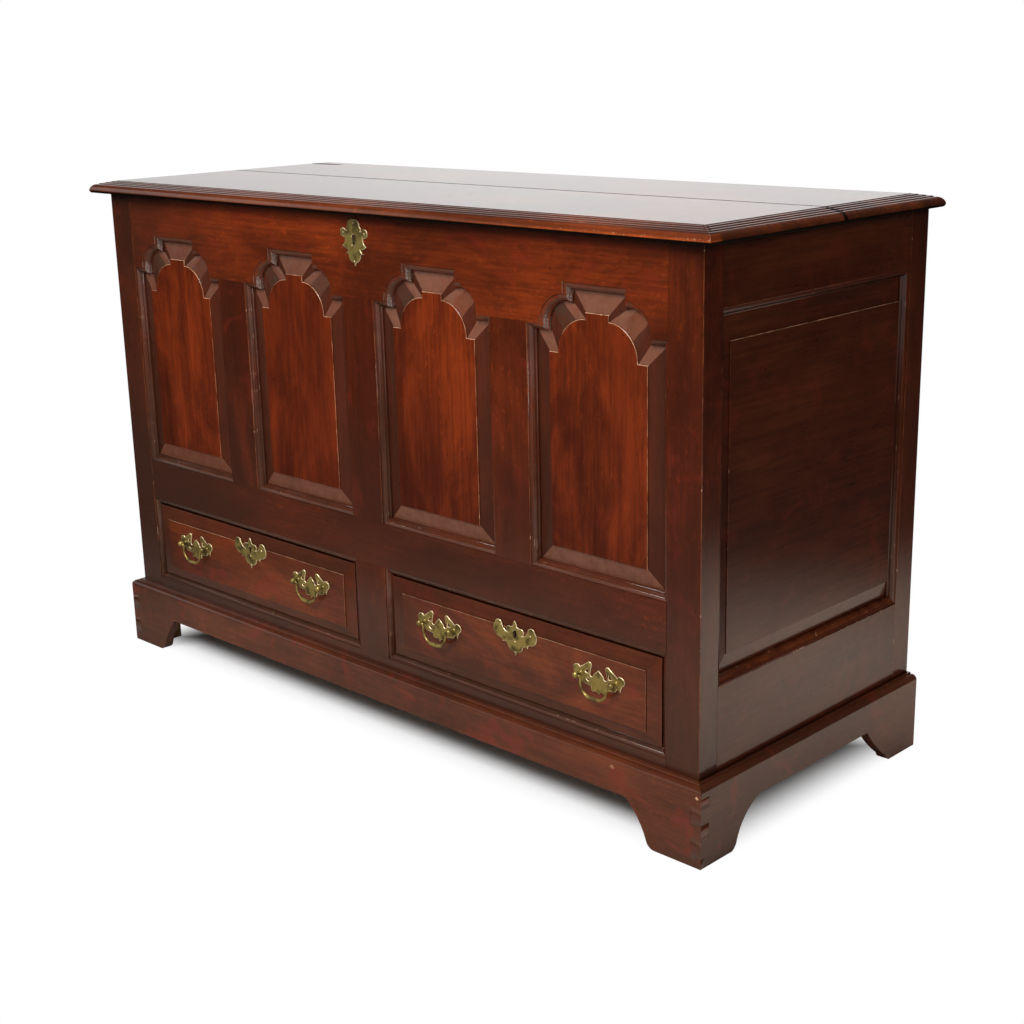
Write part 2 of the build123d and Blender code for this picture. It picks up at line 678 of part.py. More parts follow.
def front_top_rail(panels):
    """The rail under the lid: arched over the panels, holding the lid's lock behind."""
    rail = [front_slab((-SHOULDER_X, SHOULDER_X), FRONT_RAILS[0])]
    rail += [front_lip(span, OPENING_ARCH.shoulder, -1, PANEL_MOULDING) for span in PANEL_SPANS]
    rail += front_tenons(FRONT_RAILS[0])
    mortises = [
        muntin_tenon(x, (MUNTIN_HEIGHTS[1], MUNTIN_HEIGHTS[1] + MUNTIN_TENON_LENGTH), MORTISE_SPARE)
        for x in MUNTIN_SPANS
    ]
    lock = lid_lock_block()
    y = (FRONT_Y - CUT_SPARE, FRONT_Y + LID_LOCK_DEPTH)
    hole = keyhole(0, y, LID_KEYHOLE_Z, LID_KEYHOLE_DROP)
    return joined(rail).cut(*panels, *mortises, lock, hole)


def front_mid_rail(panels, drawers):
    """The rail between panels and drawers: moulded on both edges, grooved for the floor."""
    rail = [front_slab((-SHOULDER_X, SHOULDER_X), FRONT_RAILS[1])]
    rail += [front_lip(span, MID_RAIL_TOP, 1, PANEL_MOULDING) for span in PANEL_SPANS]
    rail += [front_lip(span, MID_RAIL_BOTTOM, -1, DRAWER_MOULDING) for span in DRAWER_SPANS]
    rail += front_tenons(FRONT_RAILS[1])
    cuts = [
        muntin_tenon(x, (MUNTIN_HEIGHTS[0], MUNTIN_HEIGHTS[0] - MUNTIN_TENON_LENGTH), MORTISE_SPARE)
        for x in MUNTIN_SPANS
    ]
    cuts.append(drawer_muntin_tenon(1, MORTISE_SPARE))
    cuts.append(floor_groove(FRONT_Y + FRONT_THICKNESS, -1))
    for centre in DRAWER_CENTRES:
        x, y, _ = drawer_bolt_spans(centre)
        top = DRAWER_Z1 + DRAWER_BOLT_THROW + MORTISE_SPARE
        cuts.append(
            block(
                (x[0] - BOLT_CLEARANCE, x[1] + BOLT_CLEARANCE),
                (y[0] - BOLT_CLEARANCE, y[1] + BOLT_CLEARANCE),
                (DRAWER_Z1, top),
            )
        )
    return joined(rail).cut(*panels, *drawers, *cuts)


def front_bottom_rail(drawers):
    """The rail under the drawers."""
    rail = [front_slab((-SHOULDER_X, SHOULDER_X), FRONT_RAILS[2])]
    rail += [front_lip(span, BOTTOM_RAIL_TOP, 1, DRAWER_MOULDING) for span in DRAWER_SPANS]
    rail += front_tenons(FRONT_RAILS[2])
    return joined(rail).cut(*drawers, drawer_muntin_tenon(-1, MORTISE_SPARE))


def front_muntins(panels):
    """The three uprights between the panels."""
    muntins = []
    for x in MUNTIN_SPANS:
        parts = [
            front_slab(x, MUNTIN_HEIGHTS),
            front_lip(MUNTIN_HEIGHTS, x[0], -1, PANEL_MOULDING, upright=True),
            front_lip(MUNTIN_HEIGHTS, x[1], 1, PANEL_MOULDING, upright=True),
            muntin_tenon(x, (MUNTIN_HEIGHTS[1], MUNTIN_HEIGHTS[1] + MUNTIN_TENON_LENGTH)),
            muntin_tenon(x, (MUNTIN_HEIGHTS[0], MUNTIN_HEIGHTS[0] - MUNTIN_TENON_LENGTH)),
        ]
        muntins.append(joined(parts).cut(*panels))
    return muntins


def drawer_muntin_tenon(hand, spare=0.0):
    """The drawer muntin's upper (hand 1) or lower (hand -1) tenon."""
    x = (-DRAWER_MUNTIN_WIDTH / 2, DRAWER_MUNTIN_WIDTH / 2)
    shoulder = DRAWER_HEIGHTS[1] if hand > 0 else DRAWER_HEIGHTS[0]
    return muntin_tenon(x, (shoulder, shoulder + hand * MUNTIN_TENON_LENGTH), spare)


def drawer_muntin(drawers):
    """The upright between the drawers."""
    half = DRAWER_MUNTIN_WIDTH / 2
    parts = [
        front_slab((-half, half), DRAWER_HEIGHTS),
        front_lip(DRAWER_HEIGHTS, -half, -1, DRAWER_MOULDING, upright=True),
        front_lip(DRAWER_HEIGHTS, half, 1, DRAWER_MOULDING, upright=True),
        drawer_muntin_tenon(1),
        drawer_muntin_tenon(-1),
    ]
    return joined(parts).cut(*drawers)


def front_panel(centre):
    """One arched fielded panel."""
    field = arched(centre, FIELD_ARCH)(0)
    return fielded_panel(arched(centre, OPENING_ARCH), field, PANEL_MOULDING, front_plane)


# ---------------------------------------------------------------- side frames
def side_lip(across, level, hand, side, upright=False):
    """A mitred lip on a member of one side's frame."""
    return mitred_lip(
        across, level, hand, SIDE_MOULDING.width, side_plane(side), SIDE_THICKNESS, upright
    )


def side_rail(hand, z, edge, inward, side):
    """A side rail between heights z, moulded along its edge towards the panel."""
    outer = hand * HALF_WIDTH
    x = sorted((outer, outer - hand * SIDE_THICKNESS))
    rail = [
        block(x, (FRONT_POST_BACK, BACK_POST_FRONT), z),
        side_lip((FRONT_POST_BACK, BACK_POST_FRONT), edge, inward, hand),
    ]
    return joined(rail + side_tenons(hand, z)).cut(*side)


def side_panel(hand):
    """The plain-headed fielded panel of one side."""
    field = rectangle(
        (FRONT_POST_BACK + SIDE_FIELD_FRONT_MARGIN, BACK_POST_FRONT - SIDE_FIELD_BACK_MARGIN),
        (SIDE_BOTTOM_RAIL_TOP + SIDE_FIELD_BOTTOM_MARGIN, SIDE_TOP_RAIL_BOTTOM - SIDE_FIELD_TOP_MARGIN),
    )(0)
    return fielded_panel(side_outline(), field, SIDE_MOULDING, side_plane(hand))


# ---------------------------------------------------------------- back frame
def back_openings():
    """The three openings of the back, in (x, z)."""
    half = BACK_MUNTIN_WIDTH / 2
    upper = (BACK_MID_RAIL_TOP, BACK_TOP_RAIL_BOTTOM)
    return [
        rectangle((-SHOULDER_X, -half), upper),
        rectangle((half, SHOULDER_X), upper),
        rectangle((-SHOULDER_X, SHOULDER_X), (BACK_BOTTOM_RAIL_TOP, BACK_MID_RAIL_BOTTOM)),
    ]


def back_grooves():
    """The grooves that hold the back panels."""
    near = BACK_TENON_DEPTH
    far = near + BACK_PANEL_THICKNESS + DRAWER_GROOVE_SPARE
    return [prism(outline(-BACK_GROOVE_DEPTH), back_plane, near, far) for outline in back_openings()]


def back_rail(z):
    """A back rail between heights z."""
    rail = block((-SHOULDER_X, SHOULDER_X), (BACK_Y - BACK_THICKNESS, BACK_Y), z)
    return joined([rail] + back_tenons(z)).cut(*back_grooves())


def back_top_rail():
    """The top back rail with the seats of the hinge plates and a mortise for the muntin."""
    cuts = [back_muntin_tenon(1, MORTISE_SPARE)]
    for x in (-HINGE_X, HINGE_X):
        cuts.append(back_leaf(x))
    return back_rail(BACK_RAILS[0]).cut(*cuts)


def back_mid_rail():
    """The middle back rail, grooved for the chest floor."""
    return back_rail(BACK_RAILS[1]).cut(
        floor_groove(BACK_Y - BACK_THICKNESS, 1), back_muntin_tenon(-1, MORTISE_SPARE)
    )


def back_muntin_tenon(hand, spare=0.0):
    """The back muntin's upper (hand 1) or lower (hand -1) tenon."""
    shoulder = BACK_TOP_RAIL_BOTTOM if hand > 0 else BACK_MID_RAIL_TOP
    end = shoulder + hand * (BACK_MUNTIN_TENON_LENGTH + spare)
    half = BACK_MUNTIN_WIDTH / 2 - TENON_SETBACK
    tongue = (BACK_Y - BACK_TENON_DEPTH - TENON_THICKNESS, BACK_Y - BACK_TENON_DEPTH)
    return block((-half, half), tongue, (min(shoulder, end), max(shoulder, end)))


def back_muntin():
    """The upright in the middle of the back."""
    half = BACK_MUNTIN_WIDTH / 2
    upright = block(
        (-half, half), (BACK_Y - BACK_THICKNESS, BACK_Y), (BACK_MID_RAIL_TOP, BACK_TOP_RAIL_BOTTOM)
    )
    return joined([upright.cut(*back_grooves()), back_muntin_tenon(1), back_muntin_tenon(-1)])


def back_panels():
    """Three plain panels."""
    inset = PANEL_EDGE_SPARE - BACK_GROOVE_DEPTH
    far = BACK_TENON_DEPTH + BACK_PANEL_THICKNESS
    return [prism(outline(inset), back_plane, BACK_TENON_DEPTH, far) for outline in back_openings()]


# ---------------------------------------------------------------- inside the case
def floor_groove(face, into):
    """The groove in a mid rail's inner face that carries the chest floor."""
    y = sorted((face, face + into * FLOOR_GROOVE_DEPTH))
    return block((-SHOULDER_X, SHOULDER_X), y, (FLOOR_BOTTOM, FLOOR_BOTTOM + FLOOR_THICKNESS))


def chest_floor_boards():
    """The boards under the lid compartment, running front to back and notched round the posts."""
    half = HALF_WIDTH - SIDE_THICKNESS - FLOOR_SIDE_GAP
    y = (
        FRONT_Y + FRONT_THICKNESS - FLOOR_GROOVE_DEPTH,
        BACK_Y - BACK_THICKNESS + FLOOR_GROOVE_DEPTH,
    )
    z = (FLOOR_BOTTOM, FLOOR_BOTTOM + FLOOR_THICKNESS)
    width = (2 * half + FLOOR_BOARD_GAP) / FLOOR_BOARD_COUNT
    boards = []
    for i in range(FLOOR_BOARD_COUNT):
        x0 = -half + i * width
        board = block((x0, x0 + width - FLOOR_BOARD_GAP), y, z)
        boards.append(board.cut(*post_notches(FLOOR_BOARD_GAP)))
    return boards


def post_notches(spare):
    """The room the four posts need, with some spare round them."""
    edge = SHOULDER_X - spare
    front = (FRONT_Y - spare, FRONT_POST_BACK + spare)
    back = (BACK_POST_FRONT - spare, BACK_Y + spare)
    z = (CASE_BOTTOM, CASE_TOP)
    return [
        block(x, y, z)
        for x in ((edge, HALF_WIDTH), (-HALF_WIDTH, -edge))
        for y in (front, back)
    ]


def drawer_runners():
    """A rebated runner at each side and a guide between the drawers."""
    y = (FRONT_Y + FRONT_THICKNESS, BACK_Y - BACK_THICKNESS)
    bed = (RUNNER_TOP - RUNNER_THICKNESS, RUNNER_TOP)
    guide = (RUNNER_TOP, RUNNER_GUIDE_TOP)
    outer = HALF_WIDTH - SIDE_THICKNESS
    inner = SHOULDER_X - DRAWER_MOULDING.width
    runners = []
    for hand in (-1, 1):
        bearing = block(sorted((hand * outer, hand * (inner - RUNNER_BEARING))), y, bed)
        fence = block(sorted((hand * outer, hand * inner)), y, guide)
        runners.append(joined([bearing, fence]).cut(*post_notches(0)))
    half = DRAWER_MUNTIN_WIDTH / 2 + DRAWER_MOULDING.width
    middle = [
        block((-CENTRE_RUNNER_HALF_WIDTH, CENTRE_RUNNER_HALF_WIDTH), y, bed),
        block((-half, half), y, guide),
    ]
    runners.insert(1, joined(middle))
    return runners


def drawer_stops():
    """Blocks on the runners that the drawers' backs come up against."""
    width, length, height = STOP_SIZE
    y = (DRAWER_BACK_Y + DRAWER_REST_GAP, DRAWER_BACK_Y + DRAWER_REST_GAP + length)
    z = (RUNNER_TOP, RUNNER_TOP + height)
    side = SHOULDER_X - DRAWER_MOULDING.width
    middle = DRAWER_MUNTIN_WIDTH / 2 + DRAWER_MOULDING.width
    starts = (-side, -middle - width, middle, side - width)
    return [block((x, x + width), y, z) for x in starts]


# ---------------------------------------------------------------- plinth
def plinth_section():
    """The plinth's moulded section, as (distance out from the case, height)."""
    bead = PLINTH_BEAD_WIDTH
    out = PLINTH_THICKNESS
    quirk = bead + PLINTH_QUIRK
    top = PLINTH_TOP
    seat = top - PLINTH_BEAD_HEIGHT
    ovolo_middle = ((quirk + out) / 2 + PLINTH_OVOLO_OUT, top - PLINTH_OVOLO_DROP)
    bead_side = (bead, top - PLINTH_BEAD_ROUND)
    bead_top = (bead - PLINTH_BEAD_ROUND, top)
    return [
        ((0, 0), (out, 0)),
        ((out, 0), (out, PLINTH_SHOULDER)),
        ((out, PLINTH_SHOULDER), ovolo_middle, (quirk, seat)),
        ((quirk, seat), (bead, seat)),
        ((bead, seat), bead_side),
        (bead_side, (bead - PLINTH_BEAD_EASE, top - PLINTH_BEAD_EASE), bead_top),
        (bead_top, (0, top)),
        ((0, top), (0, 0)),
    ]


def foot_line(bracket):
    """A bracket foot's inner line from the floor up, as (in from the board's end, height)."""
    toe = (bracket.toe_x, bracket.toe_z)
    toe_middle = (bracket.toe_x - TOE_SETBACK, bracket.toe_z / 2 - TOE_SAG)
    return [
        ((bracket.foot, -CUT_SPARE), (bracket.foot, 0)),
        ((bracket.foot, 0), toe_middle, toe),
        (toe, (bracket.curve_x, bracket.curve_z), (bracket.reach, CASE_BOTTOM)),
    ]


def bracket_cut(left, right, ends):
    """The outline of what is sawn out under a board between two bracket feet."""
    start, stop = ends
    up = [tuple((stop - a, b) for a, b in run) for run in foot_line(right)]
    down = [tuple((start + a, b) for a, b in reversed(run)) for run in reversed(foot_line(left))]
    return up + [(up[-1][-1], down[0][0])] + down + [(down[-1][-1], up[0][0])]


def plinth_pins(hand):
    """The dovetail pins of a side board, through the front board's thickness."""
    y = (FRONT_Y - PLINTH_THICKNESS, FRONT_Y)
    inner = hand * HALF_WIDTH
    outer = hand * (HALF_WIDTH + PLINTH_THICKNESS)
    lean = PLINTH_THICKNESS * PLINTH_PIN_SLOPE
    pins = []
    for low, high in PLINTH_PINS:
        points = [(inner, low - lean / 2), (outer, low + lean / 2)]
        points += [(outer, high - lean / 2), (inner, high + lean / 2)]
        pins.append(prism(runs_of(points), upright_plane, *y))
    return pins


def plinth_mitre(hand):
    """The side board's half of the corner above the dovetails, where the mouldings are mitred."""
    inner = hand * HALF_WIDTH
    outer = hand * (HALF_WIDTH + PLINTH_THICKNESS)
    points = [(inner, FRONT_Y), (outer, FRONT_Y), (outer, FRONT_Y - PLINTH_THICKNESS)]
    return prism(runs_of(points), level_plane, PLINTH_MITRE_FOOT, PLINTH_TOP)


def front_plinth_bar():
    """The front section run the whole width of the chest."""
    reach = HALF_WIDTH + PLINTH_THICKNESS
    section = [tuple((FRONT_Y - out, z) for out, z in run) for run in plinth_section()]
    return prism(section, cross_plane, -reach, reach)


def side_plinth_bar(hand):
    """The side section run from the front corner to the back of the case."""
    section = [tuple((hand * (HALF_WIDTH + out), z) for out, z in run) for run in plinth_section()]
    return prism(section, upright_plane, FRONT_Y - PLINTH_THICKNESS, BACK_Y)


def corner_block(hand):
    """The square of the corner, where the front and side boards cross."""
    x = sorted((hand * HALF_WIDTH, hand * (HALF_WIDTH + PLINTH_THICKNESS)))
    return block(x, (FRONT_Y - PLINTH_THICKNESS, FRONT_Y), (0, PLINTH_TOP))


def plinth_front():
    """The front plinth board with its tails, sawn to bracket feet."""
    bar = front_plinth_bar()
    corners = [common(bar, corner_block(hand), side_plinth_bar(hand)) for hand in (-1, 1)]
    y = (FRONT_Y - PLINTH_THICKNESS, FRONT_Y)
    body = common(bar, block((-HALF_WIDTH, HALF_WIDTH), y, (0, PLINTH_TOP)))
    reach = HALF_WIDTH + PLINTH_THICKNESS
    away = [part for hand in (-1, 1) for part in plinth_pins(hand) + [plinth_mitre(hand)]]
    sawn = bracket_cut(FRONT_BRACKET, FRONT_BRACKET, (-reach, reach))
    away.append(prism(sawn, front_plane, -PLINTH_THICKNESS - CUT_SPARE, CUT_SPARE))
    return joined([body] + corners).cut(*away)


def plinth_side(hand):
    """A side plinth board with its pins, sawn to bracket feet."""
    bar = side_plinth_bar(hand)
    x = sorted((hand * HALF_WIDTH, hand * (HALF_WIDTH + PLINTH_THICKNESS)))
    body = common(bar, block(x, (FRONT_Y, BACK_Y), (0, PLINTH_TOP)))
    corner = common(plinth_mitre(hand), bar, front_plinth_bar())
    sawn = bracket_cut(SIDE_FRONT_BRACKET, SIDE_BACK_BRACKET, (FRONT_Y - PLINTH_THICKNESS, BACK_Y))
    cut = prism(sawn, side_plane(hand), -PLINTH_THICKNESS - CUT_SPARE, CUT_SPARE)
    return joined([body, corner] + plinth_pins(hand)).cut(cut)


def foot_blocks():
    """Blocks glued into the plinth's corners and behind its back feet, under the posts."""
    blocks = []
    for hand in (-1, 1):
        x = sorted((hand * HALF_WIDTH, hand * (HALF_WIDTH - FOOT_BLOCK_SIZE)))
        for y in ((FRONT_Y, FRONT_Y + FOOT_BLOCK_SIZE), (BACK_Y - FOOT_BLOCK_SIZE, BACK_Y)):
            blocks.append(block(x, y, (FOOT_BLOCK_CLEAR, CASE_BOTTOM)))
    return blocks


# ---------------------------------------------------------------- lid
def lid_section(short=0.0):
    """The lid's moulded edge as (inset from the edge, height), from its underside to its top."""
    tip = CASE_TOP + NOSE_TIP_HEIGHT
    reeds_start = NOSE_WIDTH + QUIRK_WIDTH
    nose_top = LID_TOP - REED_COUNT * REED_DROP - QUIRK_DEPTH
    under, over = NOSE_UNDER_MIDDLE, NOSE_OVER_MIDDLE
    runs = [
        ((NOSE_UNDERCUT, CASE_TOP), (under[0], CASE_TOP + under[1]), (0, tip)),
        ((0, tip), (over[0], nose_top - over[1]), (NOSE_WIDTH, nose_top)),
        ((NOSE_WIDTH, nose_top), (reeds_start, nose_top)),
    ]
    at = (reeds_start, nose_top)
    for i in range(REED_COUNT):
        low = LID_TOP - (REED_COUNT - i) * REED_DROP
        rise = (at[0], low)
        end = (at[0] + REED_WIDTH, low)
        runs.append((at, rise))
        runs.append((rise, (at[0] + REED_WIDTH / 2, low + REED_CROWN), end))
        at = end
    runs.append((at, (at[0], LID_TOP)))
    return [tuple((inset + short, height) for inset, height in run) for run in runs]


def lid_ends(short=0.0):
    """A bar of the lid's full width, both ends moulded, over the whole depth of the lid."""
    reach = HALF_WIDTH + LID_SIDE_OVERHANG
    half = [tuple((reach - inset, z) for inset, z in run) for run in lid_section(short)]
    half = [((0, CASE_TOP), half[0][0])] + half + [(half[-1][-1], (0, LID_TOP))]
    return prism(mirrored(half), upright_plane, FRONT_Y - LID_FRONT_OVERHANG, BACK_Y)


def lid_board(edge, joint, short=0.0):
    """A board of the lid from its long edge to the joint, moulded along that edge and both ends."""
    inward = 1 if joint > edge else -1
    runs = [tuple((edge + inward * inset, z) for inset, z in run) for run in lid_section()]
    runs += open_runs([runs[-1][-1], (joint, LID_TOP), (joint, CASE_TOP), runs[0][0]])
    reach = HALF_WIDTH + LID_SIDE_OVERHANG
    return common(prism(runs, cross_plane, -reach, reach), lid_ends(short)).cut(*strap_seats())


def lid_front_board():
    """The front board, let in below for the link plate."""
    return lid_board(FRONT_Y - LID_FRONT_OVERHANG, LID_JOINT_Y - LID_JOINT_GAP).cut(link_plate())


def lid_back_board():
    """The back board, its ends a little short of the front board's."""
    return lid_board(BACK_Y, LID_JOINT_Y, BACK_BOARD_SHORT)


def lid_battens():
    """Two battens that hold the lid's boards together."""
    width, length, height = BATTEN_SIZE
    middle = (FRONT_Y + BACK_Y) / 2
    y = (middle - length / 2, middle + length / 2)
    return [
        block((x - width / 2, x + width / 2), y, (CASE_TOP - height, CASE_TOP))
        for x in (-BATTEN_X, BATTEN_X)
    ]


# ---------------------------------------------------------------- hinges
def knuckle_spans(x, lid):
    """The lengths of barrel that belong to the lid's strap, or to the plate on the back."""
    start = x - KNUCKLE_COUNT * KNUCKLE_LENGTH / 2
    spans = []
    for i in range(KNUCKLE_COUNT):
        if (i % 2 == 1) == lid:
            low = start + i * KNUCKLE_LENGTH + KNUCKLE_GAP / 2
            spans.append((low, low + KNUCKLE_LENGTH - KNUCKLE_GAP))
    return spans


def back_leaf(x):
    """The flat of a hinge's back plate, let into the rail."""
    half = BACK_PLATE_WIDTH / 2
    top = CASE_TOP - BARREL_RADIUS + IRON_THICKNESS
    z = (top - BACK_PLATE_HEIGHT, top)
    return block((x - half, x + half), (BACK_Y - IRON_THICKNESS, BACK_Y), z)


def hinge_plates():
    """Two back plates with their fixed knuckles, and the two pins."""
    parts = []
    bottom = CASE_TOP - BARREL_RADIUS
    for x in (-HINGE_X, HINGE_X):
        pieces = [back_leaf(x)]
        for span in knuckle_spans(x, lid=False):
            y = (BACK_Y - IRON_THICKNESS, HINGE_Y)
            pieces.append(block(span, y, (bottom, bottom + IRON_THICKNESS)))
            pieces.append(rod_x(span, HINGE_Y, CASE_TOP, BARREL_RADIUS))
        length = KNUCKLE_COUNT * KNUCKLE_LENGTH / 2
        pin = rod_x((x - length, x + length), HINGE_Y, CASE_TOP, PIN_RADIUS)
        parts.append(joined(pieces).cut(pin))
        parts.append(pin)
    return parts


def strap_leaf(x):
    """The flat of a lid strap: a tapering tongue let into the lid's underside."""
    root, end = STRAP_ROOT_WIDTH / 2, STRAP_END_WIDTH / 2
    tip = BACK_Y - STRAP_LENGTH
    neck = tip + end
    runs = [
        ((x + root, BACK_Y), (x - root, BACK_Y)),
        ((x - root, BACK_Y), (x - end, neck)),
        ((x - end, neck), (x, tip), (x + end, neck)),
        ((x + end, neck), (x + root, BACK_Y)),
    ]
    return prism(runs, level_plane, CASE_TOP, CASE_TOP + IRON_THICKNESS)


def strap_seats():
    """The recesses of both straps in the lid."""
    return [strap_leaf(x) for x in (-HINGE_X, HINGE_X)]


def hinge_straps():
    """The lid's two straps with their knuckles."""
    straps = []
    for x in (-HINGE_X, HINGE_X):
        pieces = [strap_leaf(x)]
        for span in knuckle_spans(x, lid=True):
            pieces.append(block(span, (BACK_Y, HINGE_Y), (CASE_TOP, CASE_TOP + IRON_THICKNESS)))
            pieces.append(rod_x(span, HINGE_Y, CASE_TOP, BARREL_RADIUS))
        length = KNUCKLE_COUNT * KNUCKLE_LENGTH / 2
        bore = rod_x((x - length, x + length), HINGE_Y, CASE_TOP, PIN_RADIUS + PIN_RUNNING_CLEARANCE)
        straps.append(joined(pieces).cut(bore))
    return straps


# ---------------------------------------------------------------- locks
def keyhole(x, y, z, drop):
    """A keyhole through y: a round eye with a slot below it."""
    slot = block(
        (x - KEYHOLE_SLOT_WIDTH / 2, x + KEYHOLE_SLOT_WIDTH / 2), y, (z - drop, z)
    )
    return joined([rod_y(x, y, z, KEYHOLE_RADIUS), slot])


def lid_lock_block():
    """The space of the lid lock's case, let into the top rail from behind."""
    width, depth, height = LID_LOCK_SIZE
    y = (FRONT_Y + LID_LOCK_DEPTH, FRONT_Y + LID_LOCK_DEPTH + depth)
    return block((-width / 2, width / 2), y, (CASE_TOP - height, CASE_TOP))


def lid_lock_y(thickness):
    """A thickness centred in the lid lock."""
    middle = FRONT_Y + LID_LOCK_DEPTH + LID_LOCK_SIZE[1] / 2
    return (middle - thickness / 2, middle + thickness / 2)


def lid_lock_case():
    """The lid lock's case: bolt chamber, key chamber, keyhole and two slots for the staples."""
    wall = (LID_LOCK_SIZE[1] - STAPLE_EYE - 2 * STAPLE_LEG) / 2 - BOLT_CLEARANCE * 2
    y = lid_lock_y(LID_LOCK_SIZE[1] - 2 * wall)
    half = LID_LOCK_SIZE[0] / 2 - IRON_THICKNESS
    bolt_bottom = BOLT_BAR_TOP - BOLT_BAR_HEIGHT
    cuts = [
        block((-half, half), y, (bolt_bottom - BOLT_CLEARANCE, CASE_TOP - IRON_THICKNESS)),
        rod_y(0, y, LID_KEYHOLE_Z, KEY_CHAMBER_RADIUS + BOLT_BAR_HEIGHT),
        keyhole(0, (FRONT_Y, lid_lock_y(0)[0]), LID_KEYHOLE_Z, LID_KEYHOLE_DROP),
    ]
    slot = (CASE_TOP - 2 * IRON_THICKNESS, CASE_TOP)
    cuts += [block((x - STAPLE_WIDTH, x + STAPLE_WIDTH), y, slot) for x in STAPLE_X]
    return lid_lock_block().cut(*cuts)


def lid_lock_bolt():
    """The sliding bolt, drawn back, with a nose before each staple."""
    y = lid_lock_y(BOLT_THICKNESS)
    arms = []
    noses = []
    for x in STAPLE_X:
        tip = x - STAPLE_WIDTH / 2 - BOLT_NOSE_CLEAR
        arm = (tip - LID_BOLT_THROW - BOLT_ARM_WIDTH, tip - LID_BOLT_THROW)
        arms.append(arm)
        noses.append((arm[0], tip))
    bar = block((arms[0][0], arms[1][1]), y, (BOLT_BAR_TOP - BOLT_BAR_HEIGHT, BOLT_BAR_TOP))
    uprights = [block(x, y, (BOLT_BAR_TOP, BOLT_NOSE_TOP)) for x in arms]
    hooks = [block(x, y, (BOLT_NOSE_TOP - BOLT_NOSE_HEIGHT, BOLT_NOSE_TOP)) for x in noses]
    return joined([bar] + uprights + hooks)


def link_plate():
    """The flat of the lid's link plate, let into the lid's underside."""
    width, depth, thickness = LINK_PLATE_SIZE
    return block((-width / 2, width / 2), lid_lock_y(depth), (CASE_TOP, CASE_TOP + thickness))


def lid_link_plate():
    """The link plate with the two staples that the bolt's noses enter."""
    eye = lid_lock_y(STAPLE_EYE)
    outer = lid_lock_y(STAPLE_EYE + 2 * STAPLE_LEG)
    parts = [link_plate()]
    for x in STAPLE_X:
        span = (x - STAPLE_WIDTH / 2, x + STAPLE_WIDTH / 2)
        loop = block(span, outer, (CASE_TOP - STAPLE_DROP, CASE_TOP))
        parts.append(loop.cut(block(span, eye, (CASE_TOP - STAPLE_DROP + STAPLE_LEG, CASE_TOP))))
    return joined(parts)


def drawer_lock_block(centre):
    """The space of a drawer lock's case, let into the back of the drawer front."""
    width, depth, height = DRAWER_LOCK_SIZE
    return block(
        (centre - width / 2, centre + width / 2),
        (DRAWER_INNER_Y - depth, DRAWER_INNER_Y),
        (DRAWER_Z1 - height, DRAWER_Z1),
    )


def drawer_bolt_spans(centre):
    """The x, y and z spans of a drawer lock's bolt at rest."""
    width, depth, height = DRAWER_BOLT_SIZE
    middle = DRAWER_INNER_Y - DRAWER_LOCK_SIZE[1] / 2
    return (
        (centre - width / 2, centre + width / 2),
        (middle - depth / 2, middle + depth / 2),
        (DRAWER_Z1 - BOLT_CLEARANCE - height, DRAWER_Z1 - BOLT_CLEARANCE),
    )


def drawer_lock_case(centre):
    """A drawer lock's case: the bolt's slide, the key's chamber and the keyhole."""
    x, y, z = drawer_bolt_spans(centre)
    gap = BOLT_CLEARANCE
    cuts = [
        block((x[0] - gap, x[1] + gap), (y[0] - gap, y[1] + gap), (z[0] - gap, DRAWER_Z1)),
        rod_y(centre, y, DRAWER_KEYHOLE_Z, KEY_CHAMBER_RADIUS),
        keyhole(centre, (FRONT_Y, y[0]), DRAWER_KEYHOLE_Z, KEYHOLE_SLOT_DROP),
    ]
    return drawer_lock_block(centre).cut(*cuts)


# ---------------------------------------------------------------- brasses
def brass_plate(half, x, z, depth):
    """A flat brass of the given half outline, standing on a face at a depth."""
    outline = moved(chorded(mirrored(half)), x, z)
    return prism(outline, front_plane, depth - BRASS_THICKNESS, depth)


def through_brass(depth):
    """The y span of a hole through a brass that stands on a face at a depth."""
    return (FRONT_Y + depth - BRASS_THICKNESS - CUT_SPARE, FRONT_Y + depth + CUT_SPARE)


def drawer_escutcheon(centre):
    """A drawer's bat-wing escutcheon."""
    plate = brass_plate(DRAWER_ESCUTCHEON, centre, DRAWER_ESCUTCHEON_Z, DRAWER_FIELD_DEPTH)
    y = through_brass(DRAWER_FIELD_DEPTH)
    return plate.cut(keyhole(centre, y, DRAWER_KEYHOLE_Z, KEYHOLE_SLOT_DROP))


def lid_escutcheon():
    """The eared escutcheon of the lid's lock."""
    plate = brass_plate(LID_ESCUTCHEON, 0, LID_ESCUTCHEON_Z, 0)
    return plate.cut(keyhole(0, through_brass(0), LID_KEYHOLE_Z, LID_KEYHOLE_DROP))


def handle_centres(centre):
    """The middles of a drawer's two handles."""
    return [centre - HANDLE_SPACING, centre + HANDLE_SPACING]


def handle_posts(centre):
    """The x of every handle post of a drawer."""
    return [x + side * POST_SPACING for x in handle_centres(centre) for side in (-1, 1)]


def shank(x, y, spare=0.0):
    """A handle post's flatted shank between the two values of y, or with spare the hole for it."""
    place = Plane((x, 0, HANDLE_Z), x_dir=(1, 0, 0), z_dir=(0, 1, 0))
    radius = SHANK_RADIUS + spare
    return flatted(place, [(radius, y[0]), (radius, y[1])], SHANK_SIDES)


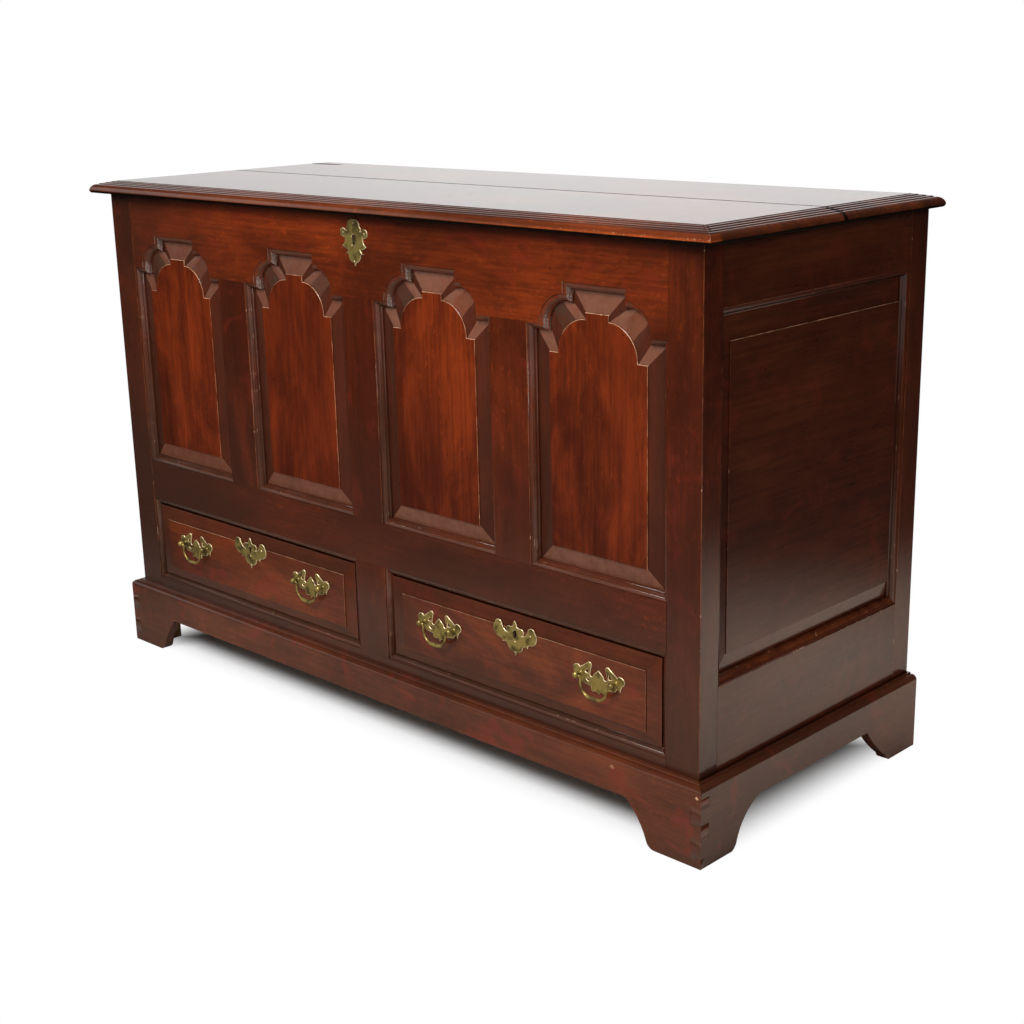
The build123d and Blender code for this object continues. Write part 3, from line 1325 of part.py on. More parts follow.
def handle_fittings(centre):
    """Both handles' pierced back plates, ball posts and nuts."""
    parts = []
    half = NUT_WIDTH / 2
    nut_y = (DRAWER_INNER_Y, DRAWER_INNER_Y + NUT_THICKNESS)
    for x in handle_centres(centre):
        plate = brass_plate(HANDLE_PLATE, x, HANDLE_Z, DRAWER_FIELD_DEPTH)
        holes = [wing_piercing(x, side, eye) for side in (-1, 1) for eye in WING_PIERCINGS]
        for side in (-1, 1):
            post_x = x + side * POST_SPACING
            holes.append(shank(post_x, through_brass(DRAWER_FIELD_DEPTH)))
            nut = block((post_x - half, post_x + half), nut_y, (HANDLE_Z - half, HANDLE_Z + half))
            parts.append(nut.cut(shank(post_x, nut_y)))
            parts.append(ball_post(x, side))
        parts.append(plate.cut(*holes))
    return parts


def wing_piercing(x, side, eye):
    """One scroll eye, through the plate of the handle centred at x."""
    points = [(x + side * a, HANDLE_Z + b) for a, b in eye]
    return prism(runs_of(points), upright_plane, *through_brass(DRAWER_FIELD_DEPTH))


def ball_post(x, side):
    """A ball on its shank, bored from its inner side for the bail's end."""
    post_x = x + side * POST_SPACING
    place = Plane((post_x, BALL_Y, HANDLE_Z), x_dir=(1, 0, 0), z_dir=(0, 1, 0))
    stations = [(out * BALL_RADIUS, along * BALL_RADIUS) for out, along in BALL_PROFILE]
    ball = flatted(place, stations, BALL_SIDES)
    stem = shank(post_x, (BALL_Y, DRAWER_INNER_Y + NUT_THICKNESS + SHANK_BEYOND_NUT))
    mouth = post_x - side * (BALL_RADIUS + CUT_SPARE)
    bottom = post_x - side * (BALL_RADIUS - BALL_BORE_DEPTH)
    bore = rod_x(sorted((mouth, bottom)), BALL_Y, HANDLE_Z, BAIL_RADIUS + BAIL_CLEARANCE)
    return joined([ball, stem]).cut(bore)


def bend(radius, across, low):
    """A bar's quarter turn from its upright side at x across to its level side at z low."""
    turn = radius * (1 - 1 / sqrt(2))
    return ((across, low + radius), (across - turn, low + turn), (across - radius, low))


def bail(x):
    """A swan-neck bail: round ends turned out, a bar bent to a U and a swelling grip."""
    bar, arm, drop = BAIL_BAR_HALF, BAIL_ARM_X, BAIL_DROP
    outer = bend(BAIL_CORNER + bar, arm + bar, -drop - bar)
    inner = bend(BAIL_CORNER - bar, arm - bar, -drop + bar)
    elbow = [(a, -b) for a, b in bend(BAIL_ELBOW, arm + bar, -bar)]
    right = [
        ((0, -drop - bar), outer[2]),
        tuple(reversed(outer)),
        (outer[0], elbow[0]),
        tuple(elbow),
        (elbow[2], (arm - bar, bar)),
        ((arm - bar, bar), inner[0]),
        inner,
        (inner[2], (0, -drop + bar)),
    ]
    left = [tuple((-a, b) for a, b in reversed(run)) for run in reversed(right)]
    outline = moved(chorded(right + left), x, HANDLE_Z)
    bent = prism(outline, upright_plane, BALL_Y - bar, BALL_Y + bar)
    reach = POST_SPACING - BALL_RADIUS + BAIL_PIN_END
    ends = [
        rod_x(sorted((x + side * arm, x + side * reach)), BALL_Y, HANDLE_Z, BAIL_RADIUS)
        for side in (-1, 1)
    ]
    half, flat = BAIL_GRIP_HALF, BAIL_GRIP_FLAT
    place = Plane((x, BALL_Y, HANDLE_Z - drop), x_dir=(0, 1, 0), z_dir=(1, 0, 0))
    swell = [(BAIL_RADIUS, -half), (BAIL_GRIP_RADIUS, -flat)]
    swell += [(BAIL_GRIP_RADIUS, flat), (BAIL_RADIUS, half)]
    return joined([bent, flatted(place, swell, GRIP_SIDES)] + ends)


# ---------------------------------------------------------------- drawers
def drawer_tails(x, y, z, toward, count):
    """Tails across a board's end: y runs from their shoulder to their end, toward is its sense."""
    pitch = (z[1] - z[0]) / count
    pin = pitch * DRAWER_PIN_SHARE
    lean = abs(y[1] - y[0]) * DRAWER_TAIL_SLOPE
    tails = []
    for i in range(count):
        low = z[0] + i * pitch + pin / 2
        high = z[0] + (i + 1) * pitch - pin / 2
        points = [(y[0], low + lean), (y[1], low), (y[1], high), (y[0], high - lean)]
        if toward < 0:
            points.reverse()
        tails.append(prism(runs_of(points), cross_plane, *x))
    return tails


def drawer_side_x(centre, hand):
    """The x span of a drawer side."""
    outer = centre + hand * DRAWER_WIDTH / 2
    return sorted((outer, outer - hand * DRAWER_SIDE_THICKNESS))


def drawer_side_z():
    """The z span of the drawer sides."""
    return (DRAWER_Z0, DRAWER_Z0 + DRAWER_SIDE_HEIGHT)


def front_tails(centre, hand):
    """The tails of a drawer side let into the back of the drawer front."""
    y = (DRAWER_INNER_Y, FRONT_Y + DRAWER_EDGE_DEPTH + DRAWER_LAP)
    return drawer_tails(drawer_side_x(centre, hand), y, drawer_side_z(), -1, DRAWER_TAIL_COUNT)


def rear_tails(centre, hand):
    """The tails of a drawer side through the drawer back."""
    y = (DRAWER_BACK_Y - DRAWER_SIDE_THICKNESS, DRAWER_BACK_Y)
    return drawer_tails(drawer_side_x(centre, hand), y, drawer_side_z(), 1, DRAWER_TAIL_COUNT)


def bottom_slab(centre, spare=0.0):
    """A drawer's bottom board, or with spare the groove for it."""
    half = DRAWER_WIDTH / 2 - DRAWER_SIDE_THICKNESS + DRAWER_BOTTOM_LET_IN
    y = (DRAWER_INNER_Y - DRAWER_BOTTOM_LET_IN, DRAWER_BACK_Y - DRAWER_REST_GAP)
    z = (DRAWER_BOTTOM_Z, DRAWER_BOTTOM_Z + DRAWER_BOTTOM_THICKNESS + spare)
    return block((centre - half - spare, centre + half + spare), (y[0] - spare, y[1] + spare), z)


def drawer_front(centre):
    """A raised and bevelled drawer front, recessed behind for its sides, bottom and lock."""
    x = (centre - DRAWER_WIDTH / 2, centre + DRAWER_WIDTH / 2)
    edge = rectangle(x, (DRAWER_Z0, DRAWER_Z1))(0)
    field = rectangle(
        (x[0] + DRAWER_FIELD_SIDE, x[1] - DRAWER_FIELD_SIDE),
        (DRAWER_Z0 + DRAWER_FIELD_BOTTOM, DRAWER_Z1 - DRAWER_FIELD_TOP),
    )(0)
    board = joined([
        prism(edge, front_plane, DRAWER_EDGE_DEPTH, DRAWER_FRONT_BACK),
        ruled([(edge, DRAWER_EDGE_DEPTH), (field, DRAWER_STEP_DEPTH)], front_plane),
        prism(field, front_plane, DRAWER_FIELD_DEPTH, DRAWER_STEP_DEPTH),
    ])
    y = (FRONT_Y, DRAWER_INNER_Y)
    cuts = front_tails(centre, -1) + front_tails(centre, 1)
    cuts += [bottom_slab(centre, DRAWER_GROOVE_SPARE), drawer_lock_block(centre)]
    cuts.append(keyhole(centre, y, DRAWER_KEYHOLE_Z, KEYHOLE_SLOT_DROP))
    cuts += [shank(post_x, y, SHANK_FIT) for post_x in handle_posts(centre)]
    return board.cut(*cuts)


def drawer_sides(centre):
    """The two sides with tails at both ends and a groove for the bottom."""
    sides = []
    for hand in (-1, 1):
        y = (DRAWER_INNER_Y, DRAWER_BACK_Y - DRAWER_SIDE_THICKNESS)
        board = block(drawer_side_x(centre, hand), y, drawer_side_z())
        pieces = [board] + front_tails(centre, hand) + rear_tails(centre, hand)
        sides.append(joined(pieces).cut(bottom_slab(centre, DRAWER_GROOVE_SPARE)))
    return sides


def drawer_back(centre):
    """The back, pinned between the sides above the bottom board."""
    x = (centre - DRAWER_WIDTH / 2, centre + DRAWER_WIDTH / 2)
    y = (DRAWER_BACK_Y - DRAWER_SIDE_THICKNESS, DRAWER_BACK_Y)
    top = DRAWER_BOTTOM_Z + DRAWER_BOTTOM_THICKNESS + DRAWER_GROOVE_SPARE
    board = block(x, y, (top, drawer_side_z()[1]))
    return board.cut(*rear_tails(centre, -1), *rear_tails(centre, 1))


# ---------------------------------------------------------------- the whole chest
def carcass_nodes():
    """Everything fixed to the case."""
    panels = panel_cuts()
    drawers = drawer_cuts()
    nodes = {
        "front_top_rail": front_top_rail(panels),
        "front_mid_rail": front_mid_rail(panels, drawers),
        "front_bottom_rail": front_bottom_rail(drawers),
        "front_muntins": front_muntins(panels),
        "drawer_muntin": drawer_muntin(drawers),
        "back_top_rail": back_top_rail(),
        "back_mid_rail": back_mid_rail(),
        "back_bottom_rail": back_rail(BACK_RAILS[2]),
        "back_muntin": back_muntin(),
        "back_panels": back_panels(),
        "chest_floor_boards": chest_floor_boards(),
        "drawer_runners": drawer_runners(),
        "drawer_stops": drawer_stops(),
        "plinth_front": plinth_front(),
        "foot_blocks": foot_blocks(),
        "hinge_plates": hinge_plates(),
        "lid_lock_case": lid_lock_case(),
        "lid_escutcheon": lid_escutcheon(),
    }
    for i, centre in enumerate(PANEL_CENTRES):
        nodes[f"front_panel_{i + 1}"] = front_panel(centre)
    for name, hand in (("left", -1), ("right", 1)):
        side = side_opening(hand)
        top, bottom = SIDE_RAILS
        nodes[f"front_post_{name}"] = front_post(hand, panels, drawers, side)
        nodes[f"back_post_{name}"] = back_post(hand, side)
        nodes[f"side_top_rail_{name}"] = side_rail(hand, top, SIDE_TOP_RAIL_BOTTOM, -1, side)
        nodes[f"side_bottom_rail_{name}"] = side_rail(hand, bottom, SIDE_BOTTOM_RAIL_TOP, 1, side)
        nodes[f"side_panel_{name}"] = side_panel(hand)
        nodes[f"plinth_{name}"] = plinth_side(hand)
    return nodes


def lid_nodes():
    """The lid with its hardware."""
    return {
        "lid_front_board": lid_front_board(),
        "lid_back_board": lid_back_board(),
        "lid_battens": lid_battens(),
        "hinge_straps": hinge_straps(),
        "lid_link_plate": lid_link_plate(),
        "lid_lock_bolt": lid_lock_bolt(),
    }


def drawer_nodes(name, centre):
    """One drawer with its hardware."""
    left, right = handle_centres(centre)
    return {
        f"{name}_drawer_front": drawer_front(centre),
        f"{name}_drawer_sides": drawer_sides(centre),
        f"{name}_drawer_back": drawer_back(centre),
        f"{name}_drawer_bottom": bottom_slab(centre),
        f"{name}_drawer_lock_case": drawer_lock_case(centre),
        f"{name}_drawer_lock_bolt": block(*drawer_bolt_spans(centre)),
        f"{name}_drawer_escutcheon": drawer_escutcheon(centre),
        f"{name}_drawer_handle_fittings": handle_fittings(centre),
        f"{name}_drawer_bail_left": bail(left),
        f"{name}_drawer_bail_right": bail(right),
    }


def chest():
    """Every node of the chest by name."""
    nodes = {**carcass_nodes(), **lid_nodes()}
    for name, centre in zip(("left", "right"), DRAWER_CENTRES):
        nodes.update(drawer_nodes(name, centre))
    return nodes


os.makedirs("parts", exist_ok=True)
for node, shape in chest().items():
    solids = shape if isinstance(shape, list) else [shape]
    pieces = [solid for item in solids for solid in item.solids()]
    whole = pieces[0] if len(pieces) == 1 else Compound(children=pieces)
    export_step(whole, f"parts/{node}.step")
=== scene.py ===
"""Looks of the panelled oak mule chest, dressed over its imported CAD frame."""
import json
import math
import random

import bmesh
import bpy
from mathutils import Matrix, Vector
from mathutils.bvhtree import BVHTree


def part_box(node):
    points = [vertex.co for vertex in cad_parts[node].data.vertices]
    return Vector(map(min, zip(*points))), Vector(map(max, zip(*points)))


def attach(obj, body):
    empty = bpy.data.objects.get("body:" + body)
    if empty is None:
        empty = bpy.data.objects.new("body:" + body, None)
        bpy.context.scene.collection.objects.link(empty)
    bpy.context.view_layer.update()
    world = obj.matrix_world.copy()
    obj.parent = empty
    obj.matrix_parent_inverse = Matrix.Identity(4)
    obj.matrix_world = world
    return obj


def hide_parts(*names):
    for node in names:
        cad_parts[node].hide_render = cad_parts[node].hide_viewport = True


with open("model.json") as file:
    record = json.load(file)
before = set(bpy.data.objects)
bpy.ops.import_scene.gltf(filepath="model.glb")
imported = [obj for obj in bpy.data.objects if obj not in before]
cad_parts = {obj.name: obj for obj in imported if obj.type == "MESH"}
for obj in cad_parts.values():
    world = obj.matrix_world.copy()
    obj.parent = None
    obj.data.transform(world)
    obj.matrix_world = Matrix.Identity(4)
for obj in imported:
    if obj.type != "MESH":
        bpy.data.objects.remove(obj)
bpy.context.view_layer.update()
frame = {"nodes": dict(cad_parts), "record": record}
NODES = frame["nodes"]
BODY_OF = {node: body for body, nodes in frame["record"]["behaviour"]["bodies"].items() for node in nodes}
SLOT_OF = {part["node"]: part["material_slot"] for part in frame["record"]["subparts"]}
MM = 0.001
X, Y, Z = range(3)

# ---------------- the camera
CAMERA_AT = (1.790848, -1.751013, 1.025001)
CAMERA_YAW, CAMERA_PITCH, CAMERA_ROLL = 134.6194, -16.1789, -1.33457
LENS, SENSOR = 57.2, 36.0


def placed(name, data):
    """A new object in the scene."""
    made = bpy.data.objects.new(name, data)
    bpy.context.scene.collection.objects.link(made)
    return made


def dressed(name, mesh, node):
    """The piece that takes a node's place, on its body and in its slot."""
    piece = placed(name, mesh)
    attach(piece, BODY_OF[node])
    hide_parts(node)
    return piece


def aim_camera():
    """The camera: turned by yaw about Z, tipped by pitch and rolled about its own line of sight."""
    yaw, pitch, roll = (math.radians(a) for a in (CAMERA_YAW, CAMERA_PITCH, CAMERA_ROLL))
    ahead = Vector((math.cos(yaw) * math.cos(pitch), math.sin(yaw) * math.cos(pitch), math.sin(pitch)))
    level = Vector((math.sin(yaw), -math.cos(yaw), 0.0))
    upright = level.cross(ahead)
    right = math.cos(roll) * level + math.sin(roll) * upright
    up = math.cos(roll) * upright - math.sin(roll) * level
    turn = Matrix((right, up, -ahead)).transposed().to_4x4()
    lens = bpy.data.cameras.new("camera")
    lens.lens, lens.sensor_width = LENS, SENSOR
    camera = placed("camera", lens)
    camera.matrix_world = Matrix.Translation(CAMERA_AT) @ turn
    bpy.context.scene.camera = camera


# ---------------- shader arithmetic
MIX_FACTOR, MIX_A, MIX_B, MIX_RESULT = 0, 6, 7, 2


class Wire:
    """An output socket that takes part in arithmetic: each operation adds its node."""

    def __init__(self, tree, socket):
        self.tree, self.socket = tree, socket

    def math(self, operation, *others, clamp=False):
        return self.tree.math(operation, self, *others, clamp=clamp)

    def __add__(self, other):
        return self.math("ADD", other)

    def __sub__(self, other):
        return self.math("SUBTRACT", other)

    def __mul__(self, other):
        return self.math("MULTIPLY", other)

    def __truediv__(self, other):
        return self.math("DIVIDE", other)

    def __rsub__(self, other):
        return self.tree.math("SUBTRACT", other, self)

    def __rtruediv__(self, other):
        return self.tree.math("DIVIDE", other, self)

    __radd__, __rmul__ = __add__, __mul__

    def __neg__(self):
        return self * -1.0

    def __abs__(self):
        return self.math("ABSOLUTE")

    def above(self, low, high):
        """0 below low, 1 above high and a smooth ramp between them."""
        inputs = {"Value": self, "From Min": low, "From Max": high, "To Min": 0.0, "To Max": 1.0}
        return self.tree.node("ShaderNodeMapRange", {"interpolation_type": "SMOOTHSTEP"}, inputs)

    def below(self, low, high):
        """1 below low, 0 above high and a smooth ramp between them."""
        return 1.0 - self.above(low, high)

    def clipped(self):
        return self.math("ADD", 0.0, clamp=True)


class Tree:
    """A node tree under construction."""

    def node(self, kind, settings=None, inputs=None, out=0):
        """Adds a node, applies its settings, then fills its sockets with values or wires."""
        made = self.tree.nodes.new(kind)
        for key, value in (settings or {}).items():
            setattr(made, key, value)
        for key, value in (inputs or {}).items():
            self.feed(made.inputs[key], value)
        return Wire(self, made.outputs[out])

    def feed(self, socket, value):
        """Links a wire to a socket or sets the socket's own value."""
        if isinstance(value, Wire):
            self.tree.links.new(value.socket, socket)
        elif socket.type == "RGBA" and len(value) == 3:
            socket.default_value = (*value, 1.0)
        else:
            socket.default_value = value

    def math(self, operation, *operands, clamp=False):
        settings = {"operation": operation, "use_clamp": clamp}
        return self.node("ShaderNodeMath", settings, dict(enumerate(operands)))


class Finish(Tree):
    """A material or world under construction."""

    def __init__(self, name, world=False):
        self.owner = (bpy.data.worlds if world else bpy.data.materials).new(name)
        self.owner.use_nodes = True
        self.tree = self.owner.node_tree
        self.tree.nodes.clear()
        self.out = self.tree.nodes.new("ShaderNodeOutputWorld" if world else "ShaderNodeOutputMaterial")

    def parts(self, vector):
        """The three components of a vector."""
        made = self.node("ShaderNodeSeparateXYZ", None, {0: vector})
        return [Wire(self, output) for output in made.socket.node.outputs]

    def rays(self, *kinds):
        """Whether the ray that looks is of each kind."""
        made = self.node("ShaderNodeLightPath")
        return [Wire(self, made.socket.node.outputs[kind]) for kind in kinds]

    def place(self):
        return self.node("ShaderNodeTexCoord", out="Object")

    def attribute(self, name, out="Fac"):
        return self.node("ShaderNodeAttribute", {"attribute_name": name}, out=out)

    def stretched(self, where, scale):
        return self.node("ShaderNodeMapping", None, {0: where, "Scale": scale})

    def noise(self, where, scale, detail, rough, warp=0.0):
        inputs = {"Vector": where, "Scale": scale, "Detail": detail, "Roughness": rough, "Distortion": warp}
        return self.node("ShaderNodeTexNoise", {"noise_dimensions": "3D"}, inputs)

    def mixed(self, factor, a, b):
        """Colour a turned to colour b by a factor."""
        inputs = {MIX_FACTOR: factor, MIX_A: a, MIX_B: b}
        return self.node("ShaderNodeMix", {"data_type": "RGBA"}, inputs, out=MIX_RESULT)

    def bumped(self, height, distance, strength):
        return self.node("ShaderNodeBump", None, {"Height": height, "Distance": distance, "Strength": strength})

    def ends_in(self, shader):
        """Puts a shader on the output."""
        self.feed(self.out.inputs[0], shader)
        return self.owner

    def surface(self, inputs):
        """The finish itself: a Principled shader on the output."""
        return self.ends_in(self.node("ShaderNodeBsdfPrincipled", None, inputs))


def darker(colour, share):
    return tuple(channel * share for channel in colour)


# ---------------- oak
# Painted shade on marked bevels; also the plinth's darker tops and the frame's darker bottom and left end.
SHADE_AND_DARKENING = (0.038, 0.0125, 0.0065)
# A painted sheen on the bevels over a field's head and sill.
PAINTED_SHEEN = (0.142, 0.050, 0.026)
RUDDY = (0.150, 0.0130, 0.0060)
# Dirt in the mouldings, and painted shade under their heads, on left-facing arcs and under the lid.
GRIME_AND_SHADE = (0.075, 0.037, 0.023)
FLOUR = (0.210, 0.170, 0.150)
# Pale worn wood and chips, and a painted highlight on arrises that face up and on the lid's corners.
PALE_WEAR_AND_HIGHLIGHT = (0.520, 0.290, 0.160)
ORANGE = (0.36, 0.062, 0.009)
# Painted shade under the lid.
UNDER_LID = (0.005, 0.0020, 0.0010)
# Black of joints and cracks, and painted shade in the gaps round the drawers, under the lid and in the side openings.
JOINT_AND_SHADE_BLACK = (0.004, 0.002, 0.001)

# Heights and places in metres on the chest, as pairs from none to full.
LID_SHADE = (0.778, 0.795)
LID_TOP = (0.8095, 0.8105)
NOSE_TOP = 0.8065
NOSE_FRONT = (0.240, 0.250)
NOSE_LOWER_HALF = (0.7985, 0.8025)
NOSE_CHIPPED = (0.8005, 0.8030)
PLINTH_FRONT = (-0.256, -0.250)
LID_FLAT_END = 0.622
LID_JOINT_Y = 0.0118
JOINT_HALF_WIDTH = (0.0018, 0.0042)
JOINT_SPREAD_AT_END = 0.0022
SPLIT_AT = (-0.585, 0.187)
SPLIT_REACH, SPLIT_BREADTH = 0.060, 0.0105
# Scratches on the lid: x, y, reach along x, reach along y. Chips on the plinth: x, z, reach, strength.
LID_SCRATCHES = ((0.089, -0.137, 0.0050, 0.0016), (0.086, -0.094, 0.0016, 0.0040))
PLINTH_CHIPS = ((0.6352, 0.0985, 0.0027, 1.0), (0.4934, 0.0985, 0.0034, 0.30))

# Noises drawn out along the fibres: scale across and along them, detail, roughness, warp.
FIGURE = {
    "rings": (26.0, 1.3, 4.0, 0.62, 0.5),
    "streaks": (190.0, 7.5, 3.0, 0.65, 0.6),
    "fibres": (900.0, 24.0, 2.0, 0.60, 0.0),
    "pores": (1300.0, 60.0, 1.0, 0.50, 0.0),
    "flecks": (170.0, 75.0, 3.0, 0.60, 0.8),
    "glow": (9.0, 3.4, 3.0, 0.55, 0.4),
    "gloom": (5.0, 2.2, 4.0, 0.60, 0.3),
    "blotch": (11.0, 5.0, 5.0, 0.68, 1.6),
}
# Even noises: scale, detail, roughness and any warp.
DAPPLE = {
    "bloom": (17.0, 4.0, 0.62, 0.9),
    "cloudy": (75.0, 4.0, 0.65),
    "flour": (420.0, 3.0, 0.70),
    "rubbed": (34.0, 5.0, 0.70),
    "nicks": (60.0, 2.0, 0.50),
    "chips": (330.0, 3.0, 0.60),
    "ragged": (500.0, 3.0, 0.60),
    "wander": (9.0, 2.0, 0.50),
}
MARKS = ("edge", "dust", "seam", "tone", "shade")


class Oak(Finish):
    """Old polished oak under construction, with what its layers share. The grain attribute runs its
    z along the fibres, in metres; the others mark worn arrises, with a painted highlight on those
    that face up or right (edge: 1 orange, 2 pale), dusty mouldings with painted shade on faces that
    look down (1 brown, 2 speckled white), joints with painted shade in gaps and under the lid, the
    tone of each board, faces with painted shade and the plinth's darker tops (shade 1) and a painted
    sheen (shade -1); field holds the place across and up a panel, and how much it is rubbed."""

    def __init__(self, name):
        super().__init__(name)
        self.grain, self.where = self.attribute("grain", "Vector"), self.place()
        self.edge, self.dust, self.seam, self.tone, self.shade = (self.attribute(mark) for mark in MARKS)
        self.across, self.up, self.on_field = self.parts(self.attribute("field", "Vector"))
        self.east, self.north, self.height = self.parts(self.where)
        self.rings, self.streaks, self.fibres = (self.along(n) for n in ("rings", "streaks", "fibres"))
        self.pores = self.along("pores").above(0.60, 0.75)
        self.gloom = self.along("gloom").above(0.42, 0.70) * (1.0 - self.on_field * 0.55)
        self.cloudy = self.dappled("cloudy").above(0.30, 0.72)
        self.rubbed = self.dappled("rubbed").above(0.40, 0.60)

    def along(self, name):
        """A noise of the figure, drawn out along the fibres."""
        across, along, *rest = FIGURE[name]
        return self.noise(self.stretched(self.grain, (across, across, along)), 1.0, *rest)

    def dappled(self, name):
        return self.noise(self.where, *DAPPLE[name])

    def layer(self, share, colour):
        """Lays a colour over those already there."""
        self.colour = self.mixed(share.clipped(), self.colour, colour)

    def figured(self, dark, mid, bright, figure, streak):
        """Bare boards: rings, streaks and flecks, and fields rubbed bright in the middle and darker
        towards their feet and their left side."""
        flecks = self.along("flecks").above(0.55, 0.72)
        glow = self.along("glow").above(0.40, 0.68)
        blotch = self.along("blotch") + (self.streaks - 0.5) * 0.22
        tone = self.rings.above(0.30, 0.70) * 0.45 + self.streaks.above(0.34, 0.66) * (0.40 * streak)
        lively = 0.35 + self.streaks.above(0.40, 0.62) * (0.35 * streak) + flecks * (0.55 * figure)
        inward = 1.0 - abs(self.across).above(0.74, 0.98) * 0.75
        rubbed = (blotch + self.up * 0.03 + self.across * 0.02).above(0.34, 0.74) * self.on_field * inward
        darkened = 0.24 - self.across * 0.10 - self.up * 0.42 + (blotch - 0.5) * -0.75
        darkened = self.on_field * darkened.above(0.05, 1.15)
        lively = glow * lively + flecks * (0.18 * figure)
        lively = lively + rubbed * (0.42 + self.streaks.above(0.32, 0.68) * (0.45 * streak))
        self.colour = dark
        self.layer(tone + self.tone, mid)
        self.layer(lively, bright)
        self.layer(self.gloom * 0.45 + darkened * (0.40 + self.rings * 0.24), darker(dark, 0.6))

    def aged(self, dark, ruddy, smoky_below, under_lid):
        """Red bloom in the polish; painted shade on marked faces and, on the frame, darker wood towards
        its bottom and left end; the painted shade under the lid; dark pores and specks of dirt; dirt and
        painted shade in the mouldings, a painted sheen on bevels and white specks.
        """
        if ruddy:
            self.layer(self.dappled("bloom").above(0.53, 0.66) * ruddy, RUDDY)
        # Painted shade on marked faces, and on the frame darker wood towards its bottom and left end.
        darkening = self.shade.clipped() * 0.85
        if smoky_below:
            darkening = darkening + self.height.below(*smoky_below) * (0.60 + self.gloom * 0.25)
            darkening = darkening + (-self.east).above(0.15, 0.66) * 0.55
        self.layer(darkening, SHADE_AND_DARKENING)
        if under_lid:
            self.layer(self.height.above(*LID_SHADE) * 0.96, UNDER_LID)
        specks = self.noise(self.grain, 110.0, 2.0, 0.5).above(0.73, 0.79)
        self.layer(self.pores * 0.45 + specks * 0.7, darker(dark, 0.3))
        # Dirt, and painted shade where faces look down or away from the light.
        self.layer(self.dust.clipped() * (0.45 + self.cloudy * 0.45), GRIME_AND_SHADE)
        # A painted sheen on head and sill bevels.
        self.layer((-self.shade).clipped() * (0.50 + self.cloudy * 0.40), PAINTED_SHEEN)
        flour = self.dappled("flour").above(0.50, 0.62)
        self.layer((self.dust - 1.0).clipped() * (0.25 + flour * 0.75), FLOUR)

    def worn(self, rubbed_colour, nose, chipped):
        """Arrises rubbed through to orange and pale wood, with a painted highlight on those that face up or
        right, the lid's nose and single chips.
        """
        worn_away = self.edge.clipped() * (0.12 + self.rubbed * 0.88)
        nicks = self.dappled("nicks").above(0.66, 0.69)
        pale = (self.edge - 1.0).clipped() * (0.30 + self.rubbed * 0.70) + self.edge.clipped() * nicks * 0.8
        if nose:
            streaky = 0.40 + self.streaks * 0.8
            worn_away = worn_away + nose * (0.08 + self.east.above(0.10, 0.70) * 0.30) * streaky
            chips = self.dappled("chips").above(0.60, 0.66) * self.height.below(*NOSE_CHIPPED)
            pale = pale + nose * self.east.above(0.15, 0.55) * chips * 0.45
        for x, z, reach, strength in chipped:
            dx, dz = self.east - x, self.height - z
            off = (dx * dx + dz * dz).math("SQRT") + (self.dappled("ragged") - 0.5) * 0.006
            pale = pale + off.below(reach * 0.6, reach) * self.north.below(*PLINTH_FRONT) * strength
        self.layer(worn_away, rubbed_colour)
        if nose:
            lower = self.height.below(*NOSE_LOWER_HALF) * nose * self.east.above(0.12, 0.50)
            self.layer(lower * (0.35 + self.rubbed * 0.50), ORANGE)
        self.layer(pale, PALE_WEAR_AND_HIGHLIGHT)

    def lid_nose(self):
        """1 on the nose along the front of the lid."""
        return self.height.below(NOSE_TOP, NOSE_TOP + 0.001) * (-self.north).above(*NOSE_FRONT)

    def lid_cracks(self):
        """The joint of the lid's two boards, its split left corner and its scratches."""
        wander = (self.dappled("wander") - 0.5) * 0.004
        at_end = abs(self.east).above(LID_FLAT_END - 0.003, LID_FLAT_END)
        joint = abs(self.north - LID_JOINT_Y + wander) - at_end * JOINT_SPREAD_AT_END
        split_x, split_y = SPLIT_AT
        along = (self.east - split_x) / SPLIT_REACH
        split = abs(self.north - split_y + wander * 2.0) / SPLIT_BREADTH + along * along
        split = split.below(0.75, 1.05)
        for x, y, reach, breadth in LID_SCRATCHES:
            along, off = abs(self.east - x), abs(self.north - y)
            split = split + along.below(reach * 0.6, reach) * off.below(breadth * 0.6, breadth) * 0.6
        on_top = self.height.above(*LID_TOP)
        return split * on_top + joint.below(*JOINT_HALF_WIDTH) * on_top.math("MAXIMUM", at_end)


def oak(name, dark, mid, bright, worn, gloss=0.45, coat=0.9, sheen=0.14, figure=1.0, streak=1.0,
        ruddy=0.0, smoky_below=None, under_lid=False, is_lid=False, chipped=()):
    """A finish of old polished oak."""
    f = Oak(name)
    nose = f.lid_nose() if is_lid else None
    seam = (f.seam + f.lid_cracks()).clipped() if is_lid else f.seam
    f.figured(dark, mid, bright, figure, streak)
    f.aged(dark, ruddy, smoky_below, under_lid)
    f.worn(worn, nose, chipped)
    f.layer(seam, JOINT_AND_SHADE_BLACK)
    dull = f.dust.clipped() * 0.5
    if is_lid:
        dull = dull + nose * f.east.above(0.10, 0.45) * 0.85
    relief = f.fibres * 0.5 - f.pores * 0.9 + f.rings * 0.8 - seam * 0.5
    return f.surface({
        "Base Color": f.colour,
        "Roughness": gloss + f.fibres * 0.10 + f.dust.clipped() * 0.15,
        "Coat Weight": (coat - dull - seam * 0.85 + (f.cloudy - 0.5) * 0.12).clipped(),
        "Coat Roughness": sheen,
        "Specular IOR Level": 0.05,
        "Normal": f.bumped(relief, 0.00022, 0.45),
    })


WORN = (0.200, 0.048, 0.012)
PALE_WORN = (0.360, 0.150, 0.070)
